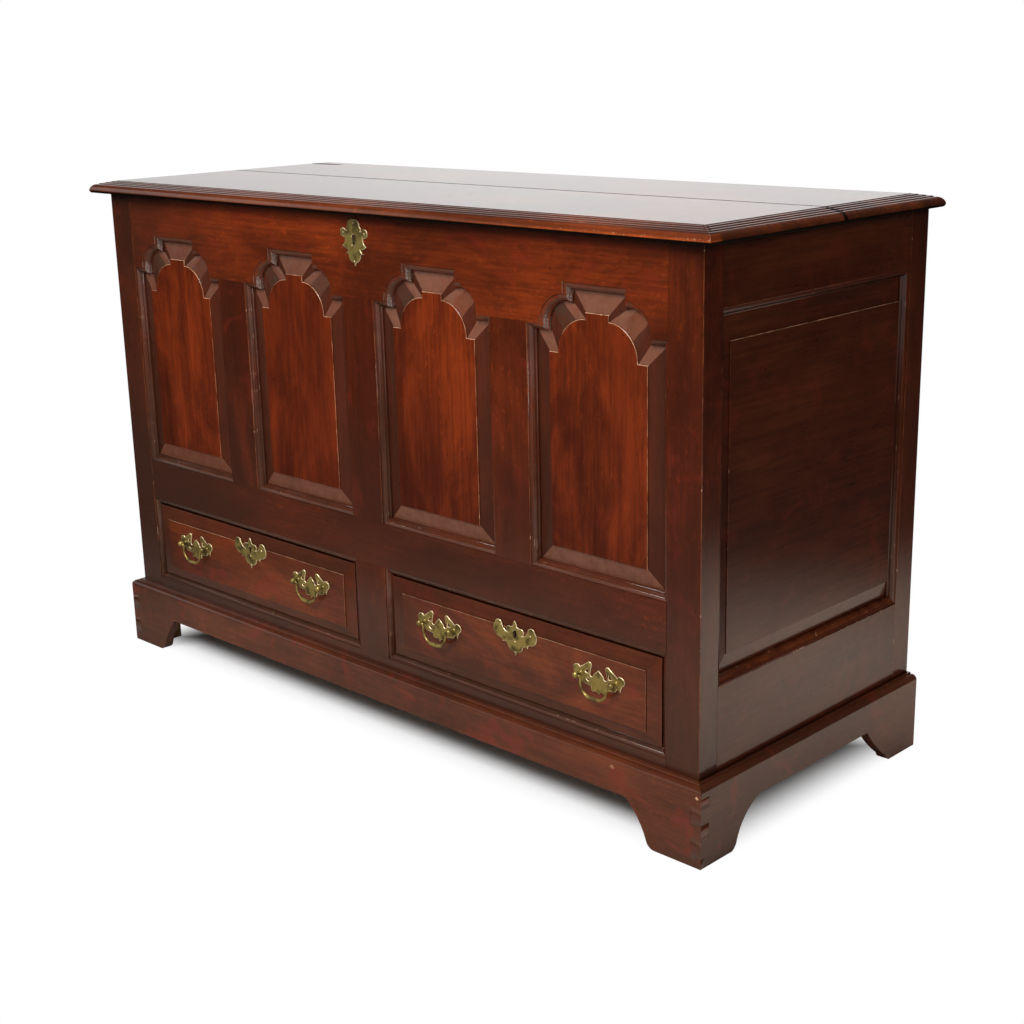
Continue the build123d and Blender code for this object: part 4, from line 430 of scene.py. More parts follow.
# Each oak's dark, middle, bright and worn colours, and what else sets it apart. The drawers' fronts
# wear an oak of their own in the panels' slot.
OAKS = {
    "oak_frame": (
        (0.034, 0.0058, 0.0013), (0.082, 0.0110, 0.0016), (0.200, 0.0270, 0.0030), WORN,
        {"streak": 0.6, "ruddy": 0.30, "smoky_below": (0.24, 0.60), "under_lid": True},
    ),
    "oak_panel": (
        (0.040, 0.0055, 0.0010), (0.100, 0.0115, 0.0013), (0.178, 0.0226, 0.0023), PALE_WORN,
        {"figure": 0.8, "streak": 0.6},
    ),
    "oak_drawer": (
        (0.048, 0.0100, 0.0032), (0.097, 0.0178, 0.0042), (0.192, 0.0366, 0.0070), PALE_WORN,
        {"coat": 0.75, "figure": 0.5, "streak": 0.4, "ruddy": 0.40},
    ),
    "oak_side": (
        (0.034, 0.0060, 0.0014), (0.066, 0.0110, 0.0022), (0.100, 0.0200, 0.0040), WORN,
        {"figure": 0.5, "ruddy": 0.22, "under_lid": True},
    ),
    "oak_lid": (
        (0.030, 0.0060, 0.0015), (0.070, 0.0140, 0.0035), (0.190, 0.0380, 0.0075), (0.25, 0.040, 0.007),
        {"gloss": 0.40, "coat": 1.0, "sheen": 0.09, "streak": 0.6, "is_lid": True},
    ),
    "oak_plinth": (
        (0.040, 0.0095, 0.0035), (0.073, 0.0156, 0.0044), (0.126, 0.0262, 0.0060), (0.20, 0.055, 0.018),
        {"streak": 0.6, "ruddy": 0.45, "chipped": PLINTH_CHIPS},
    ),
    "raw_oak": (
        (0.20, 0.105, 0.045), (0.30, 0.17, 0.080), (0.38, 0.23, 0.120), (0.42, 0.27, 0.15),
        {"gloss": 0.60, "coat": 0.0},
    ),
}
OAK_FINISHES = {name: oak(name, *colours, **rest) for name, (*colours, rest) in OAKS.items()}

# ---------------- metal
DULL_BRASS = (0.105, 0.073, 0.023)
CLEAN_BRASS = (0.37, 0.28, 0.080)
# A painted highlight on chamfered edges and pin heads, over brass rubbed bright.
RUBBED_BRASS_AND_HIGHLIGHT = (1.0, 0.84, 0.50)
KEYHOLE_DARK = (0.006, 0.004, 0.002)
BARE_IRON = (0.035, 0.030, 0.028)
RUST = (0.11, 0.045, 0.022)


def old_brass():
    """Thin dirt in the hollows, rubbed bright and a painted highlight on the edges (edge 1), black
    inside keyholes (edge -1).
    """
    f = Finish("brass")
    place = f.place()
    edge = f.attribute("edge")
    grime = f.noise(place, 75.0, 3.0, 0.5).above(0.42, 0.68)
    pits = f.noise(place, 900.0, 2.0, 0.5).above(0.64, 0.74)
    colour = f.mixed(grime, CLEAN_BRASS, DULL_BRASS)
    colour = f.mixed((edge.clipped() * (1.0 - grime * 0.4)).clipped(), colour, RUBBED_BRASS_AND_HIGHLIGHT)
    colour = f.mixed(pits * 0.35, colour, darker(DULL_BRASS, 0.4))
    return f.surface({
        "Base Color": f.mixed((-edge).clipped(), colour, KEYHOLE_DARK),
        "Metallic": 0.72,
        "Roughness": 0.30 + grime * 0.15,
        "Normal": f.bumped(grime * 0.3 + pits * -0.4, 0.0002, 0.5),
    })


def forged_iron():
    """Forged iron, nearly black with brown rust."""
    f = Finish("iron")
    place = f.place()
    rust = f.noise(place, 70.0, 5.0, 0.7).above(0.45, 0.65)
    scale = f.noise(place, 260.0, 3.0, 0.6)
    return f.surface({
        "Base Color": f.mixed(rust, BARE_IRON, RUST),
        "Metallic": 0.6,
        "Roughness": 0.45 + rust * 0.35,
        "Normal": f.bumped(scale, 0.0004, 0.7),
    })


IRON = forged_iron()
BRASS = old_brass()

# ---------------- worked boards
# Words in the names of the boards whose fibres stand up or run from front to back.
UPRIGHT = ("post", "muntin", "front_panel", "back_panels", "foot_blocks")
DEEPWISE = ("plinth_left", "plinth_right", "side_", "drawer_sides", "runners", "battens", "floor_boards")
LID_BOARDS = ("lid_front_board", "lid_back_board")
FRONT_FRAME = ("front_post", "front_top_rail", "front_mid_rail", "front_bottom_rail", "front_muntins", "drawer_muntin")
SIDE_FRAME = ("side_top_rail", "side_bottom_rail", "back_post", "front_post")
AROUND_DRAWERS = ("front_mid_rail", "drawer_muntin", "front_post_left", "front_post_right")
# How much the fields are rubbed and darkened, and how much lighter a whole board is.
FIELDS = {
    "front_panel_": 1.0, "left_drawer_front": 0.6, "drawer_front": 0.9,
    "side_panel_": 0.35, "front_top_rail": 0.75, "plinth_front": 0.8,
}
TONES = {
    "front_top_rail": 0.18, "front_mid_rail": -0.15, "front_bottom_rail": -0.05, "front_panel_4": -0.15,
    "plinth_front": 0.0, "plinth_left": 0.0, "plinth_right": 0.0,
}
# Places in metres.
CASE_HALF_WIDTH = 0.625
CASE_FRONT = -0.24225
MOULDING_DEPTH = 0.0125
MOULDING_WIDTH = 0.02
DRAWER_REACH = 0.57
DRAWER_LOW, DRAWER_HIGH = 0.129, 0.301
DRAWER_EDGE_DEPTH = 0.05
PLINTH_MOULDING = 0.105
PLINTH_DOVETAILS = 0.61
# What counts as touching, as an arris and as facing some way.
TOUCH = 0.0003
NEAR = 0.001
SAME_POINT = 2e-6
FLAT_ANGLE, MITRE_ANGLE, BEVEL_ANGLE, ARRIS_ANGLE = (math.radians(a) for a in (0.4, 1.0, 10.0, 24.0))
ARRIS_WIDTH, JOINT_WIDTH = 0.7 * MM, 0.22 * MM
SQUARE = 0.9
LEANING = 0.25
FLAT = 0.985


def fibre_axis(node):
    """The way a board's fibres run."""
    if any(word in node for word in UPRIGHT):
        return Z
    return Y if any(word in node for word in DEEPWISE) else X


def neighbours(node):
    """Search trees of the boards that share the node's body and touch its box."""
    low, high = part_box(node)
    found = []
    for other, tree in TREES.items():
        if other == node or BODY_OF[other] != BODY_OF[node]:
            continue
        other_low, other_high = BOXES[other]
        if all(low[i] - NEAR < other_high[i] and other_low[i] - NEAR < high[i] for i in range(3)):
            found.append(tree)
    return found


def arrises(work, node):
    """The sharp edges of a board, apart from those where it meets its neighbours, then those."""
    trees = neighbours(node)
    free, joints = [], []
    for e in work.edges:
        if e.is_manifold and e.calc_face_angle_signed(0.0) > ARRIS_ANGLE:
            middle = (e.verts[0].co + e.verts[1].co) / 2
            meets = any(tree.find_nearest(middle, TOUCH)[0] is not None for tree in trees)
            (joints if meets else free).append(e)
    return free, joints


def softened(work, edges, width, steps):
    """Bevels the edges that are left of some and gives the new faces."""
    edges = [e for e in edges if e.is_valid]
    if not edges:
        return []
    cut = bmesh.ops.bevel(
        work, geom=edges, offset=width, offset_type="OFFSET", segments=steps, profile=0.5,
        affect="EDGES", clamp_overlap=True,
    )
    return cut["faces"]


def worked(node):
    """A board finished by hand: its own grain, softened and worn arrises with a painted highlight,
    dirt, painted shade and a painted sheen on its mouldings and bevels, and fine dark lines where it
    meets its neighbours."""
    copy = bmesh.new()
    copy.from_mesh(NODES[node].data)
    bmesh.ops.remove_doubles(copy, verts=copy.verts, dist=SAME_POINT)
    bmesh.ops.dissolve_limit(
        copy, angle_limit=FLAT_ANGLE, use_dissolve_boundaries=False, verts=copy.verts, edges=copy.edges
    )
    bmesh.ops.dissolve_degenerate(copy, dist=1e-5, edges=copy.edges)
    layers = {name: copy.faces.layers.float.new(name) for name in MARKS}
    for e in copy.edges:
        if e.is_manifold and turns_corner(node, e):
            e.smooth = False
    mark_mouldings(copy, layers, node)
    mark_bevels(copy, layers, node)
    free, joints = arrises(copy, node)
    for face in softened(copy, free, ARRIS_WIDTH, 2):
        mark(face, layers, edge=wear_and_highlight(node, face))
    for face in softened(copy, joints, JOINT_WIDTH, 1):
        mark(face, layers, seam=1.0)
    lay_grain(copy, layers["tone"], node)
    mesh = bpy.data.meshes.new(node + "_board")
    copy.to_mesh(mesh)
    copy.free()
    for face in mesh.polygons:
        face.use_smooth = True
    mesh.materials.append(OAK_FINISHES["oak_drawer" if "drawer_front" in node else SLOT_OF[node]])
    even = dressed(node + "_board", mesh, node).modifiers.new("even", "WEIGHTED_NORMAL")
    even.keep_sharp = True


def turns_corner(node, edge):
    """Whether a shallow edge is the mitre of a moulding or a bevel, which stays crisp."""
    a, b = (face.normal for face in edge.link_faces)
    if node.startswith("lid_"):
        return (abs(a.x) > abs(a.y)) != (abs(b.x) > abs(b.y)) and a.angle(b, 0.0) > MITRE_ANGLE
    return "panel" in node and a.angle(b, 0.0) > BEVEL_ANGLE


def wear_and_highlight(node, face):
    """How worn an arris is by the way it faces, with a painted highlight: pale on top of the fields,
    orange where it faces the room and little on its shaded side."""
    facing, middle = face.normal, face.calc_center_median()
    if node.startswith("side_panel_"):
        return 2.0 if facing.z > 0.2 else 0.5
    if "panel_" in node or "drawer_front" in node:
        low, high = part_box(node)
        if min(middle.x - low.x, high.x - middle.x, middle.z - low.z, high.z - middle.z) < 0.004:
            return 0.1
        return 2.0 if facing.z > 0.2 else 0.9 if facing.x > 0.2 else 0.15 if facing.x < -0.2 else 0.3
    if node.startswith("lid_"):
        if facing.z < -0.1 or middle.z > NOSE_TOP:
            return 0.0
        # The lid's corner arrises get a painted highlight.
        return 1.8 if abs(facing.x) > 0.3 and abs(facing.y) > 0.3 else 0.3
    if node.startswith("plinth_") and abs(middle.x) > PLINTH_DOVETAILS and middle.z < PLINTH_MOULDING:
        return 0.2
    if facing.y < -0.3 and facing.x < -LEANING:
        return 0.25
    if middle.y < CASE_FRONT + 0.0008 or abs(middle.x) > CASE_HALF_WIDTH - 0.001:
        return 1.0
    return 0.3


def mark(face, layers, **amounts):
    """Sets some of a face's marks."""
    for name, amount in amounts.items():
        face[layers[name]] = amount


def in_drawer_opening(face):
    """Whether a face of the frame looks into the gap round a drawer."""
    middle, facing = face.calc_center_median(), face.normal
    inside = abs(middle.x) < DRAWER_REACH and DRAWER_LOW < middle.z < DRAWER_HIGH
    return inside and (facing.z < -SQUARE or abs(facing.x) > SQUARE)


def mark_bevels(work, layers, node):
    """Marks the sloping bevels round a field: painted shade at the sides, dirt and a painted sheen over
    the head and sill, painted shade on a drawer's bevels, least on its right one; and the lid's
    underside and the gaps round the drawers, painted dark as shade."""
    drawer = "drawer_front" in node
    for face in work.faces:
        facing, depth = face.normal, face.calc_center_median().y - CASE_FRONT
        # The lid's underside: painted black as shade.
        if node in LID_BOARDS and facing.z < -0.2:
            mark(face, layers, seam=1.0, dust=1.0)
        # Painted shade in the gaps round the drawers.
        if abs(facing.y) < 0.2 and depth < DRAWER_EDGE_DEPTH:
            if drawer:
                mark(face, layers, seam=0.72)
            elif node in AROUND_DRAWERS and in_drawer_opening(face):
                mark(face, layers, seam=0.95)
        if not -0.998 < facing.y < -SQUARE:
            continue
        # Painted shade on a drawer's bevels, least on the right one.
        if drawer:
            mark(face, layers, shade=0.25 if facing.x > abs(facing.z) else 0.65)
        elif "front_panel" in node:
            mark_heading(face, layers, node in ("front_panel_1", "front_panel_2"))


def mark_heading(face, layers, far):
    """Marks one bevel of an arched panel: painted shade at its sides and on arcs that face left, dirt
    and a painted sheen over the rest of the head and the sill; the far panels are browner over their heads.
    """
    facing = face.normal
    if abs(facing.x) > abs(facing.z) * 1.5:
        mark(face, layers, shade=0.85)
    elif facing.z > 0.0 and facing.x < -0.06:
        mark(face, layers, dust=1.0, shade=0.35, seam=0.3)
    elif facing.z > 0.0 and far and facing.x > 0.06:
        mark(face, layers, dust=1.0)
    elif facing.z > 0.0 and far:
        mark(face, layers, dust=0.7, shade=-0.6)
    else:
        mark(face, layers, dust=0.4, shade=-1.0)


def mark_mouldings(work, layers, node):
    """Marks the moulded faces of the frames and the plinth: painted shade under the heads, less dirt
    on the sills and a darker, duller sill on the bottom rail, painted black shade under the tops of
    the side openings and painted shade on their front-facing sides; the plinth's upward faces darker."""
    front, side = node.startswith(FRONT_FRAME), node.startswith(SIDE_FRAME)
    for face in work.faces:
        middle, facing = face.calc_center_median(), face.normal
        if node.startswith("plinth_") and facing.z > 0.2:
            mark(face, layers, shade=0.40)
        on_front = front and abs(middle.x) < CASE_HALF_WIDTH - 0.05 and middle.y < CASE_FRONT + MOULDING_DEPTH
        on_side = side and abs(middle.x) > CASE_HALF_WIDTH - MOULDING_DEPTH and middle.y > CASE_FRONT + 0.03
        slanted = (on_front and abs(facing.y) < FLAT) or (on_side and abs(facing.x) < FLAT)
        if not slanted or min(e.calc_length() for e in face.edges) >= MOULDING_WIDTH:
            continue
        if on_side and facing.z < -LEANING:
            mark(face, layers, seam=0.80)
        elif on_side and facing.y < -LEANING:
            mark(face, layers, seam=0.40)
        elif on_side:
            mark(face, layers, edge=0.45 if facing.z > LEANING else 0.0)
        elif facing.z < -LEANING:
            mark(face, layers, dust=0.90)
        elif facing.z > LEANING and node == "front_bottom_rail":
            mark(face, layers, dust=0.60, seam=0.35)
        elif facing.z > LEANING:
            mark(face, layers, dust=0.25)
        elif node == "front_top_rail" and facing.x > 0.3:
            mark(face, layers, dust=2.0)
        else:
            mark(face, layers, dust=0.45 if facing.x > 0.1 else 0.0)


def lay_grain(work, tone, node):
    """Gives every separate board of a node its own place in the log and its own tone."""
    where = work.verts.layers.float_vector.new("grain")
    field = work.verts.layers.float_vector.new("field")
    share = next((amount for word, amount in FIELDS.items() if word in node), 0.0)
    if share:
        low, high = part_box(node)
        sideways = Y if node.startswith("side_") else X
        for vertex in work.verts:
            places = [(2 * vertex.co[i] - low[i] - high[i]) / (high[i] - low[i]) for i in (sideways, Z)]
            vertex[field] = Vector((*places, share))
    order = {X: (Y, Z, X), Y: (Z, X, Y), Z: (X, Y, Z)}[fibre_axis(node)]
    unseen, index = set(work.verts), 0
    while unseen:
        island, queue = set(), [min(unseen, key=lambda v: v.index)]
        while queue:
            vertex = queue.pop()
            if vertex in island:
                continue
            island.add(vertex)
            queue.extend(e.other_vert(vertex) for e in vertex.link_edges)
        picker = random.Random(f"{node} {index}")
        shift = [picker.uniform(-5.0, 5.0) for _ in range(3)]
        lighter = TONES.get(node, picker.uniform(-0.06, 0.10))
        for vertex in island:
            vertex[where] = Vector([vertex.co[axis] + shift[i] for i, axis in enumerate(order)])
            for face in vertex.link_faces:
                face[tone] = lighter
        unseen -= island
        index += 1
        work.verts.index_update()


# ---------------- brasses
# Half outlines in millimetres from the bottom middle to the top middle: a run to one place is a
# straight edge, a run with two places an arc through the first to the second.
HANDLE_PLATE = (
    (0.0, -24.0),
    ((3.4, -20.8), (8.5, -21.5)),
    ((13.2, -19.8), (12.8, -15.0)),
    ((25.5, -13.5),),
    ((29.5, -12.0), (31.5, -8.0)),
    ((35.0, -8.4), (37.4, -12.2)),
    ((39.4, -5.8), (42.0, -1.5)),
    ((45.6, 5.0), (40.0, 10.4)),
    ((36.0, 11.0), (33.0, 8.2)),
    ((19.5, 17.4),),
    ((14.0, 18.6), (12.6, 13.2)),
    ((15.2, 2.4),),
    ((12.2, -1.2), (9.2, 2.6)),
    ((0.0, 10.8),),
)
DRAWER_ESCUTCHEON = (
    (0.0, -26.2),
    ((2.0, -21.5), (5.0, -19.0)),
    ((11.5, -17.0), (14.5, -11.0)),
    ((19.5, -8.2), (24.6, -10.2)),
    ((25.0, -6.0), (28.0, -4.4)),
    ((40.5, 3.0), (38.6, 16.0)),
    ((32.0, 21.6), (24.5, 15.6)),
    ((20.5, 9.2), (14.0, 6.4)),
    ((16.4, 13.4), (9.6, 16.2)),
    ((6.0, 16.8), (4.2, 17.6)),
    ((2.8, 22.4), (0.0, 26.2)),
)
LID_ESCUTCHEON = (
    (0.0, -33.2),
    ((2.2, -29.0), (5.4, -27.4)),
    ((11.0, -23.4), (13.0, -16.8)),
    ((15.8, -15.6), (18.8, -15.8)),
    ((15.0, -12.9), (12.6, -9.0)),
    ((19.6, -8.0), (26.0, -4.2)),
    ((20.5, 0.4), (20.0, 8.2)),
    ((29.4, 15.8), (19.4, 19.6)),
    ((16.6, 17.4), (14.6, 17.2)),
    ((15.8, 20.0), (13.6, 22.6)),
    ((9.6, 31.4), (0.0, 33.4)),
)
WING_PIERCINGS = (
    ((17.5, 2.0), (24.5, 3.4), (18.6, 9.4)),
    ((15.6, -4.4), (16.6, -9.6), (22.6, -6.6)),
)
LID_PINS = ((0, 28), (-23, 14), (23, 14), (0, -26), (-4.6, 9.0), (-4.2, -3.5))
DRAWER_PINS = ((-26, 15), (30, 10), (0, -20), (0, -4.5))
# Pin heads: rubbed brass with a painted highlight.
PIN_RADIUS, PIN_WEAR_AND_HIGHLIGHT = 1.25, 0.8
PIN_RISE = 0.55
# Keyholes: height of the eye over the middle of the plate, length of the slot.
LID_KEYHOLE = (9.5, 11.0)
DRAWER_KEYHOLE = (9.0, 8.0)
KEYHOLE_MIDDLE, KEYHOLE_REACH, KEYHOLE_SQUEEZE = 4.0, 4.6, 0.55
FRONT_Y = -242.25
FIELD_DEPTH = 1.5
PLATE_BACK = FRONT_Y + FIELD_DEPTH
PLATE_THICKNESS = 1.6
PLATE_CHAMFER = 0.75
LID_ESCUTCHEON_Z, DRAWER_ESCUTCHEON_Z, HANDLE_Z = 752.5, 227.0, 209.0
DRAWER_X = 301.75
HANDLE_X = 154.0
POST_X = 31.0
BALL_Y = -252.35
BALL_RADIUS = 5.0
NUT_Y = FRONT_Y + 25.0
NUT_RADIUS, NUT_CROWN_RADIUS, SHANK_RADIUS = 5.0, 4.4, 2.4
BAIL_ARM, BAIL_DROP, BAIL_CORNER, BAIL_ELBOW = 23.5, 27.0, 18.5, 3.4
BAIL_END = POST_X - BALL_RADIUS + 3.2
ARM_RADIUS, GRIP_RADIUS, GRIP_SHARE = 1.65, 2.9, 0.26
MID_CURVE = 0.7071


def arc_points(start, through, end, steps):
    """Points along the arc through three places, without its start."""
    (ax, ay), (bx, by), (cx, cy) = start, through, end
    d = 2 * (ax * (by - cy) + bx * (cy - ay) + cx * (ay - by))
    a2, b2, c2 = ax * ax + ay * ay, bx * bx + by * by, cx * cx + cy * cy
    ux = (a2 * (by - cy) + b2 * (cy - ay) + c2 * (ay - by)) / d
    uy = (a2 * (cx - bx) + b2 * (ax - cx) + c2 * (bx - ax)) / d
    radius = math.hypot(ax - ux, ay - uy)
    first, middle, last = (math.atan2(y - uy, x - ux) for x, y in (start, through, end))
    sweep = (last - first) % math.tau
    if (middle - first) % math.tau > sweep:
        sweep -= math.tau
    turns = [first + sweep * (i + 1) / steps for i in range(steps)]
    return [(ux + radius * math.cos(t), uy + radius * math.sin(t)) for t in turns]


def whole_outline(half, steps=9):
    """The closed outline of a plate from its right half."""
    right = [half[0]]
    for run in half[1:]:
        right += arc_points(right[-1], *run, steps) if len(run) == 2 else run
    left = [(-x, z) for x, z in reversed(right[1:-1])]
    return right + left


def keyhole_outline(eye_z, drop, radius=3.0, slot=1.7, steps=14):
    """A round eye over a straight slot."""
    spread = math.asin(slot / radius)
    turns = [-math.pi / 2 + spread + (math.tau - 2 * spread) * i / steps for i in range(steps + 1)]
    eye = [(radius * math.cos(t), eye_z + radius * math.sin(t)) for t in turns]
    return [(slot, eye_z - drop)] + eye + [(-slot, eye_z - drop)]


def rounded_triangle(corners, steps=4, round_off=0.28):
    """The loop of a scroll's eye."""
    points = []
    for i, corner in enumerate(corners):
        before, after = corners[i - 1], corners[(i + 1) % len(corners)]
        near = [corner[k] + (before[k] - corner[k]) * round_off for k in (0, 1)]
        far = [corner[k] + (after[k] - corner[k]) * round_off for k in (0, 1)]
        for s in range(steps + 1):
            t = s / steps
            points.append(tuple(near[k] * (1 - t) ** 2 + 2 * corner[k] * t * (1 - t) + far[k] * t * t for k in (0, 1)))
    return points


def handle_piercings():
    """The scroll eyes through both wings of a handle's plate."""
    right = [rounded_triangle(corners) for corners in WING_PIERCINGS]
    return right + [[(-a, b) for a, b in reversed(loop)] for loop in right]


def flat_mesh(name, loops):
    """A chamfered sheet in the XY plane, cut to an outline and its holes."""
    drawing = bpy.data.curves.new(name, "CURVE")
    drawing.dimensions, drawing.fill_mode = "2D", "BOTH"
    for loop in loops:
        spline = drawing.splines.new("POLY")
        spline.points.add(len(loop) - 1)
        for point, (a, b) in zip(spline.points, loop):
            point.co = (a * MM, b * MM, 0.0, 1.0)
        spline.use_cyclic_u = True
    drawing.bevel_depth = PLATE_CHAMFER * MM
    drawing.bevel_resolution = 1
    drawing.offset = -PLATE_CHAMFER * MM
    drawing.extrude = (PLATE_THICKNESS / 2 - PLATE_CHAMFER) * MM
    holder = bpy.data.objects.new(name, drawing)
    mesh = bpy.data.meshes.new_from_object(holder)
    bpy.data.objects.remove(holder)
    return mesh


def pressed_plate(name, outline, holes, x, z, back, keyholed=False):
    """A plate sawn from cast sheet with filed, chamfered edges; its back lies at depth back."""
    mesh = flat_mesh(name, [whole_outline(outline), *holes])
    facing = Matrix(((1, 0, 0, 0), (0, 0, -1, 0), (0, 1, 0, 0), (0, 0, 0, 1)))
    centre = Vector((x, back - PLATE_THICKNESS / 2, z)) * MM
    mesh.transform(Matrix.Translation(centre) @ facing)
    work = bmesh.new()
    work.from_mesh(mesh)
    bmesh.ops.remove_doubles(work, verts=work.verts, dist=1e-6)
    bmesh.ops.recalc_face_normals(work, faces=work.faces)
    edge = work.faces.layers.float.new("edge")
    for face in work.faces:
        at = face.calc_center_median() / MM
        off = math.hypot(at.x - x, (at.z - z - KEYHOLE_MIDDLE) * KEYHOLE_SQUEEZE)
        in_keyhole = keyholed and off < KEYHOLE_REACH
        face[edge] = 0.0 if abs(face.normal.y) > 0.95 else -1.0 if in_keyhole else 1.0
    work.to_mesh(mesh)
    work.free()
    return mesh


def turned(profile, x, z, steps=24):
    """A shape turned about a line along Y: profile pairs are (radius, y)."""
    work = bmesh.new()
    rings = []
    for radius, y in profile:
        if radius < 1e-6:
            rings.append([work.verts.new((x * MM, y * MM, z * MM))])
            continue
        ring = []
        for i in range(steps):
            turn = math.tau * i / steps
            at = (x + radius * math.cos(turn), y, z + radius * math.sin(turn))
            ring.append(work.verts.new(Vector(at) * MM))
        rings.append(ring)
    for a, b in zip(rings, rings[1:]):
        for i in range(steps):
            j = (i + 1) % steps
            corners = [a[i % len(a)], a[j % len(a)], b[j % len(b)], b[i % len(b)]]
            unique = list(dict.fromkeys(corners))
            if len(unique) > 2:
                work.faces.new(unique)
    for ring in (rings[0], rings[-1]):
        if len(ring) > 2:
            work.faces.new(ring)
    bmesh.ops.recalc_face_normals(work, faces=work.faces)
    mesh = bpy.data.meshes.new("turned")
    work.to_mesh(mesh)
    work.free()
    for face in mesh.polygons:
        face.use_smooth = True
    return mesh


class Growth(Tree):
    """A Geometry Nodes tree under construction, with named inputs."""

    def __init__(self, name, *lengths):
        self.tree = bpy.data.node_groups.new(name, "GeometryNodeTree")
        kinds = {"Geometry": "Geometry", **dict.fromkeys(lengths, "Float"), "Metal": "Material"}
        self.inputs = {key: self.socket(key, kind, "INPUT") for key, kind in kinds.items()}
        self.socket("Geometry", "Geometry", "OUTPUT")
        self.start = self.tree.nodes.new("NodeGroupInput")

    def socket(self, name, kind, way):
        return self.tree.interface.new_socket(name, in_out=way, socket_type="NodeSocket" + kind).identifier

    def given(self, name):
        return Wire(self, self.start.outputs[name])

    def ends_in(self, geometry):
        """Realizes, smooths and coats the geometry."""
        real = self.node("GeometryNodeRealizeInstances", None, {0: geometry})
        smooth = self.node("GeometryNodeSetShadeSmooth", None, {0: real})
        coat = self.node("GeometryNodeSetMaterial", None, {"Geometry": smooth, "Material": self.given("Metal")})
        self.feed(self.tree.nodes.new("NodeGroupOutput").inputs[0], coat)
        return self

    def grown(self, data, sizes):
        """The plain brass mesh that the tree makes of some data."""
        holder = placed("holder", data)
        modifier = holder.modifiers.new("tree", "NODES")
        modifier.node_group = self.tree
        for name, value in {**sizes, "Metal": BRASS}.items():
            modifier[self.inputs[name]] = value
        bpy.context.view_layer.update()
        depsgraph = bpy.context.evaluated_depsgraph_get()
        mesh = bpy.data.meshes.new_from_object(holder.evaluated_get(depsgraph))
        bpy.data.objects.remove(holder)
        return mesh


def pin_growth():
    """Domed heads on every point of a mesh."""
    g = Growth("domed_pins", "Head radius")
    ball = g.node("GeometryNodeMeshUVSphere", None, {"Segments": 14, "Rings": 8, "Radius": 1.0}, out="Mesh")
    radius = g.given("Head radius")
    size = g.node("ShaderNodeCombineXYZ", None, {X: radius, Y: radius * PIN_RISE, Z: radius})
    inputs = {"Points": g.given("Geometry"), "Instance": ball, "Scale": size}
    return g.ends_in(g.node("GeometryNodeInstanceOnPoints", None, inputs))


def bail_growth():
    """A round bar along a path: full at its middle, slim at its arms."""
    g = Growth("bail_bar", "Arm radius", "Grip radius", "Grip share")
    off = abs(g.node("GeometryNodeSplineParameter", out="Factor") - 0.5)
    inputs = {"Value": off, "From Min": 0.0, "From Max": g.given("Grip share")}
    inputs |= {"To Min": g.given("Grip radius"), "To Max": g.given("Arm radius")}
    swell = g.node("ShaderNodeMapRange", {"interpolation_type": "SMOOTHERSTEP"}, inputs)
    path = g.node("GeometryNodeSetCurveRadius", None, {"Curve": g.given("Geometry"), "Radius": swell})
    ring = g.node("GeometryNodeCurvePrimitiveCircle", None, {"Resolution": 16, "Radius": 1.0})
    inputs = {"Curve": path, "Profile Curve": ring, "Scale": g.node("GeometryNodeInputRadius"), "Fill Caps": True}
    return g.ends_in(g.node("GeometryNodeCurveToMesh", None, inputs))


PIN_GROWTH, BAIL_GROWTH = pin_growth(), bail_growth()


def pins(places):
    """Brass pins' heads at (x, y, z) places in millimetres."""
    points = bpy.data.meshes.new("pin_places")
    points.from_pydata([Vector(p) * MM for p in places], [], [])
    heads = PIN_GROWTH.grown(points, {"Head radius": PIN_RADIUS * MM})
    for value in heads.attributes.new("edge", "FLOAT", "FACE").data:
        value.value = PIN_WEAR_AND_HIGHLIGHT
    return heads


def assembled(name, meshes, node):
    """One brass piece from several meshes."""
    work = bmesh.new()
    for mesh in meshes:
        work.from_mesh(mesh)
    mesh = bpy.data.meshes.new(name)
    work.to_mesh(mesh)
    work.free()
    mesh.materials.append(BRASS)
    for face in mesh.polygons:
        face.material_index = 0
    dressed(name, mesh, node)


def escutcheon(node, outline, keyhole, pin_places, x, z, back):
    """A keyhole's plate with its pins."""
    plate = pressed_plate(node, outline, [keyhole_outline(*keyhole)], x, z, back, keyholed=True)
    front = back - PLATE_THICKNESS
    heads = pins([(x + a, front, z + b) for a, b in pin_places])
    assembled(node + "_plate", [plate, heads], node)


def ball_post(x):
    """A turned post: collar, neck and flattened ball."""
    front = PLATE_BACK - PLATE_THICKNESS
    r = BALL_RADIUS
    profile = [(0.0, BALL_Y - 0.98 * r), (0.22 * r, BALL_Y - 0.95 * r)]
    for k in range(1, 10):
        turn = math.radians(78 - 17.0 * k)
        profile.append((r * math.cos(turn), BALL_Y - 0.98 * r * math.sin(turn)))
    profile += [(0.52 * r, front - 2.6), (0.50 * r, front - 1.9), (0.72 * r, front - 1.5)]
    profile += [(0.78 * r, front - 0.6), (0.76 * r, front + 0.2)]
    return turned(profile, x, HANDLE_Z)


def post_nut(x):
    """A six-sided nut inside the drawer front."""
    profile = [(0.0, NUT_Y), (NUT_RADIUS, NUT_Y), (NUT_RADIUS, NUT_Y + 3.4)]
    profile += [(NUT_CROWN_RADIUS, NUT_Y + 4.0), (0.0, NUT_Y + 4.0)]
    return turned(profile, x, HANDLE_Z, 6)


def post_shank(x, end):
    """The end of a post's shank that stands out of its nut."""
    profile = [(0.0, NUT_Y + 3.9), (SHANK_RADIUS, NUT_Y + 3.9), (SHANK_RADIUS, end - 0.4), (0.0, end)]
    return turned(profile, x, HANDLE_Z, 12)


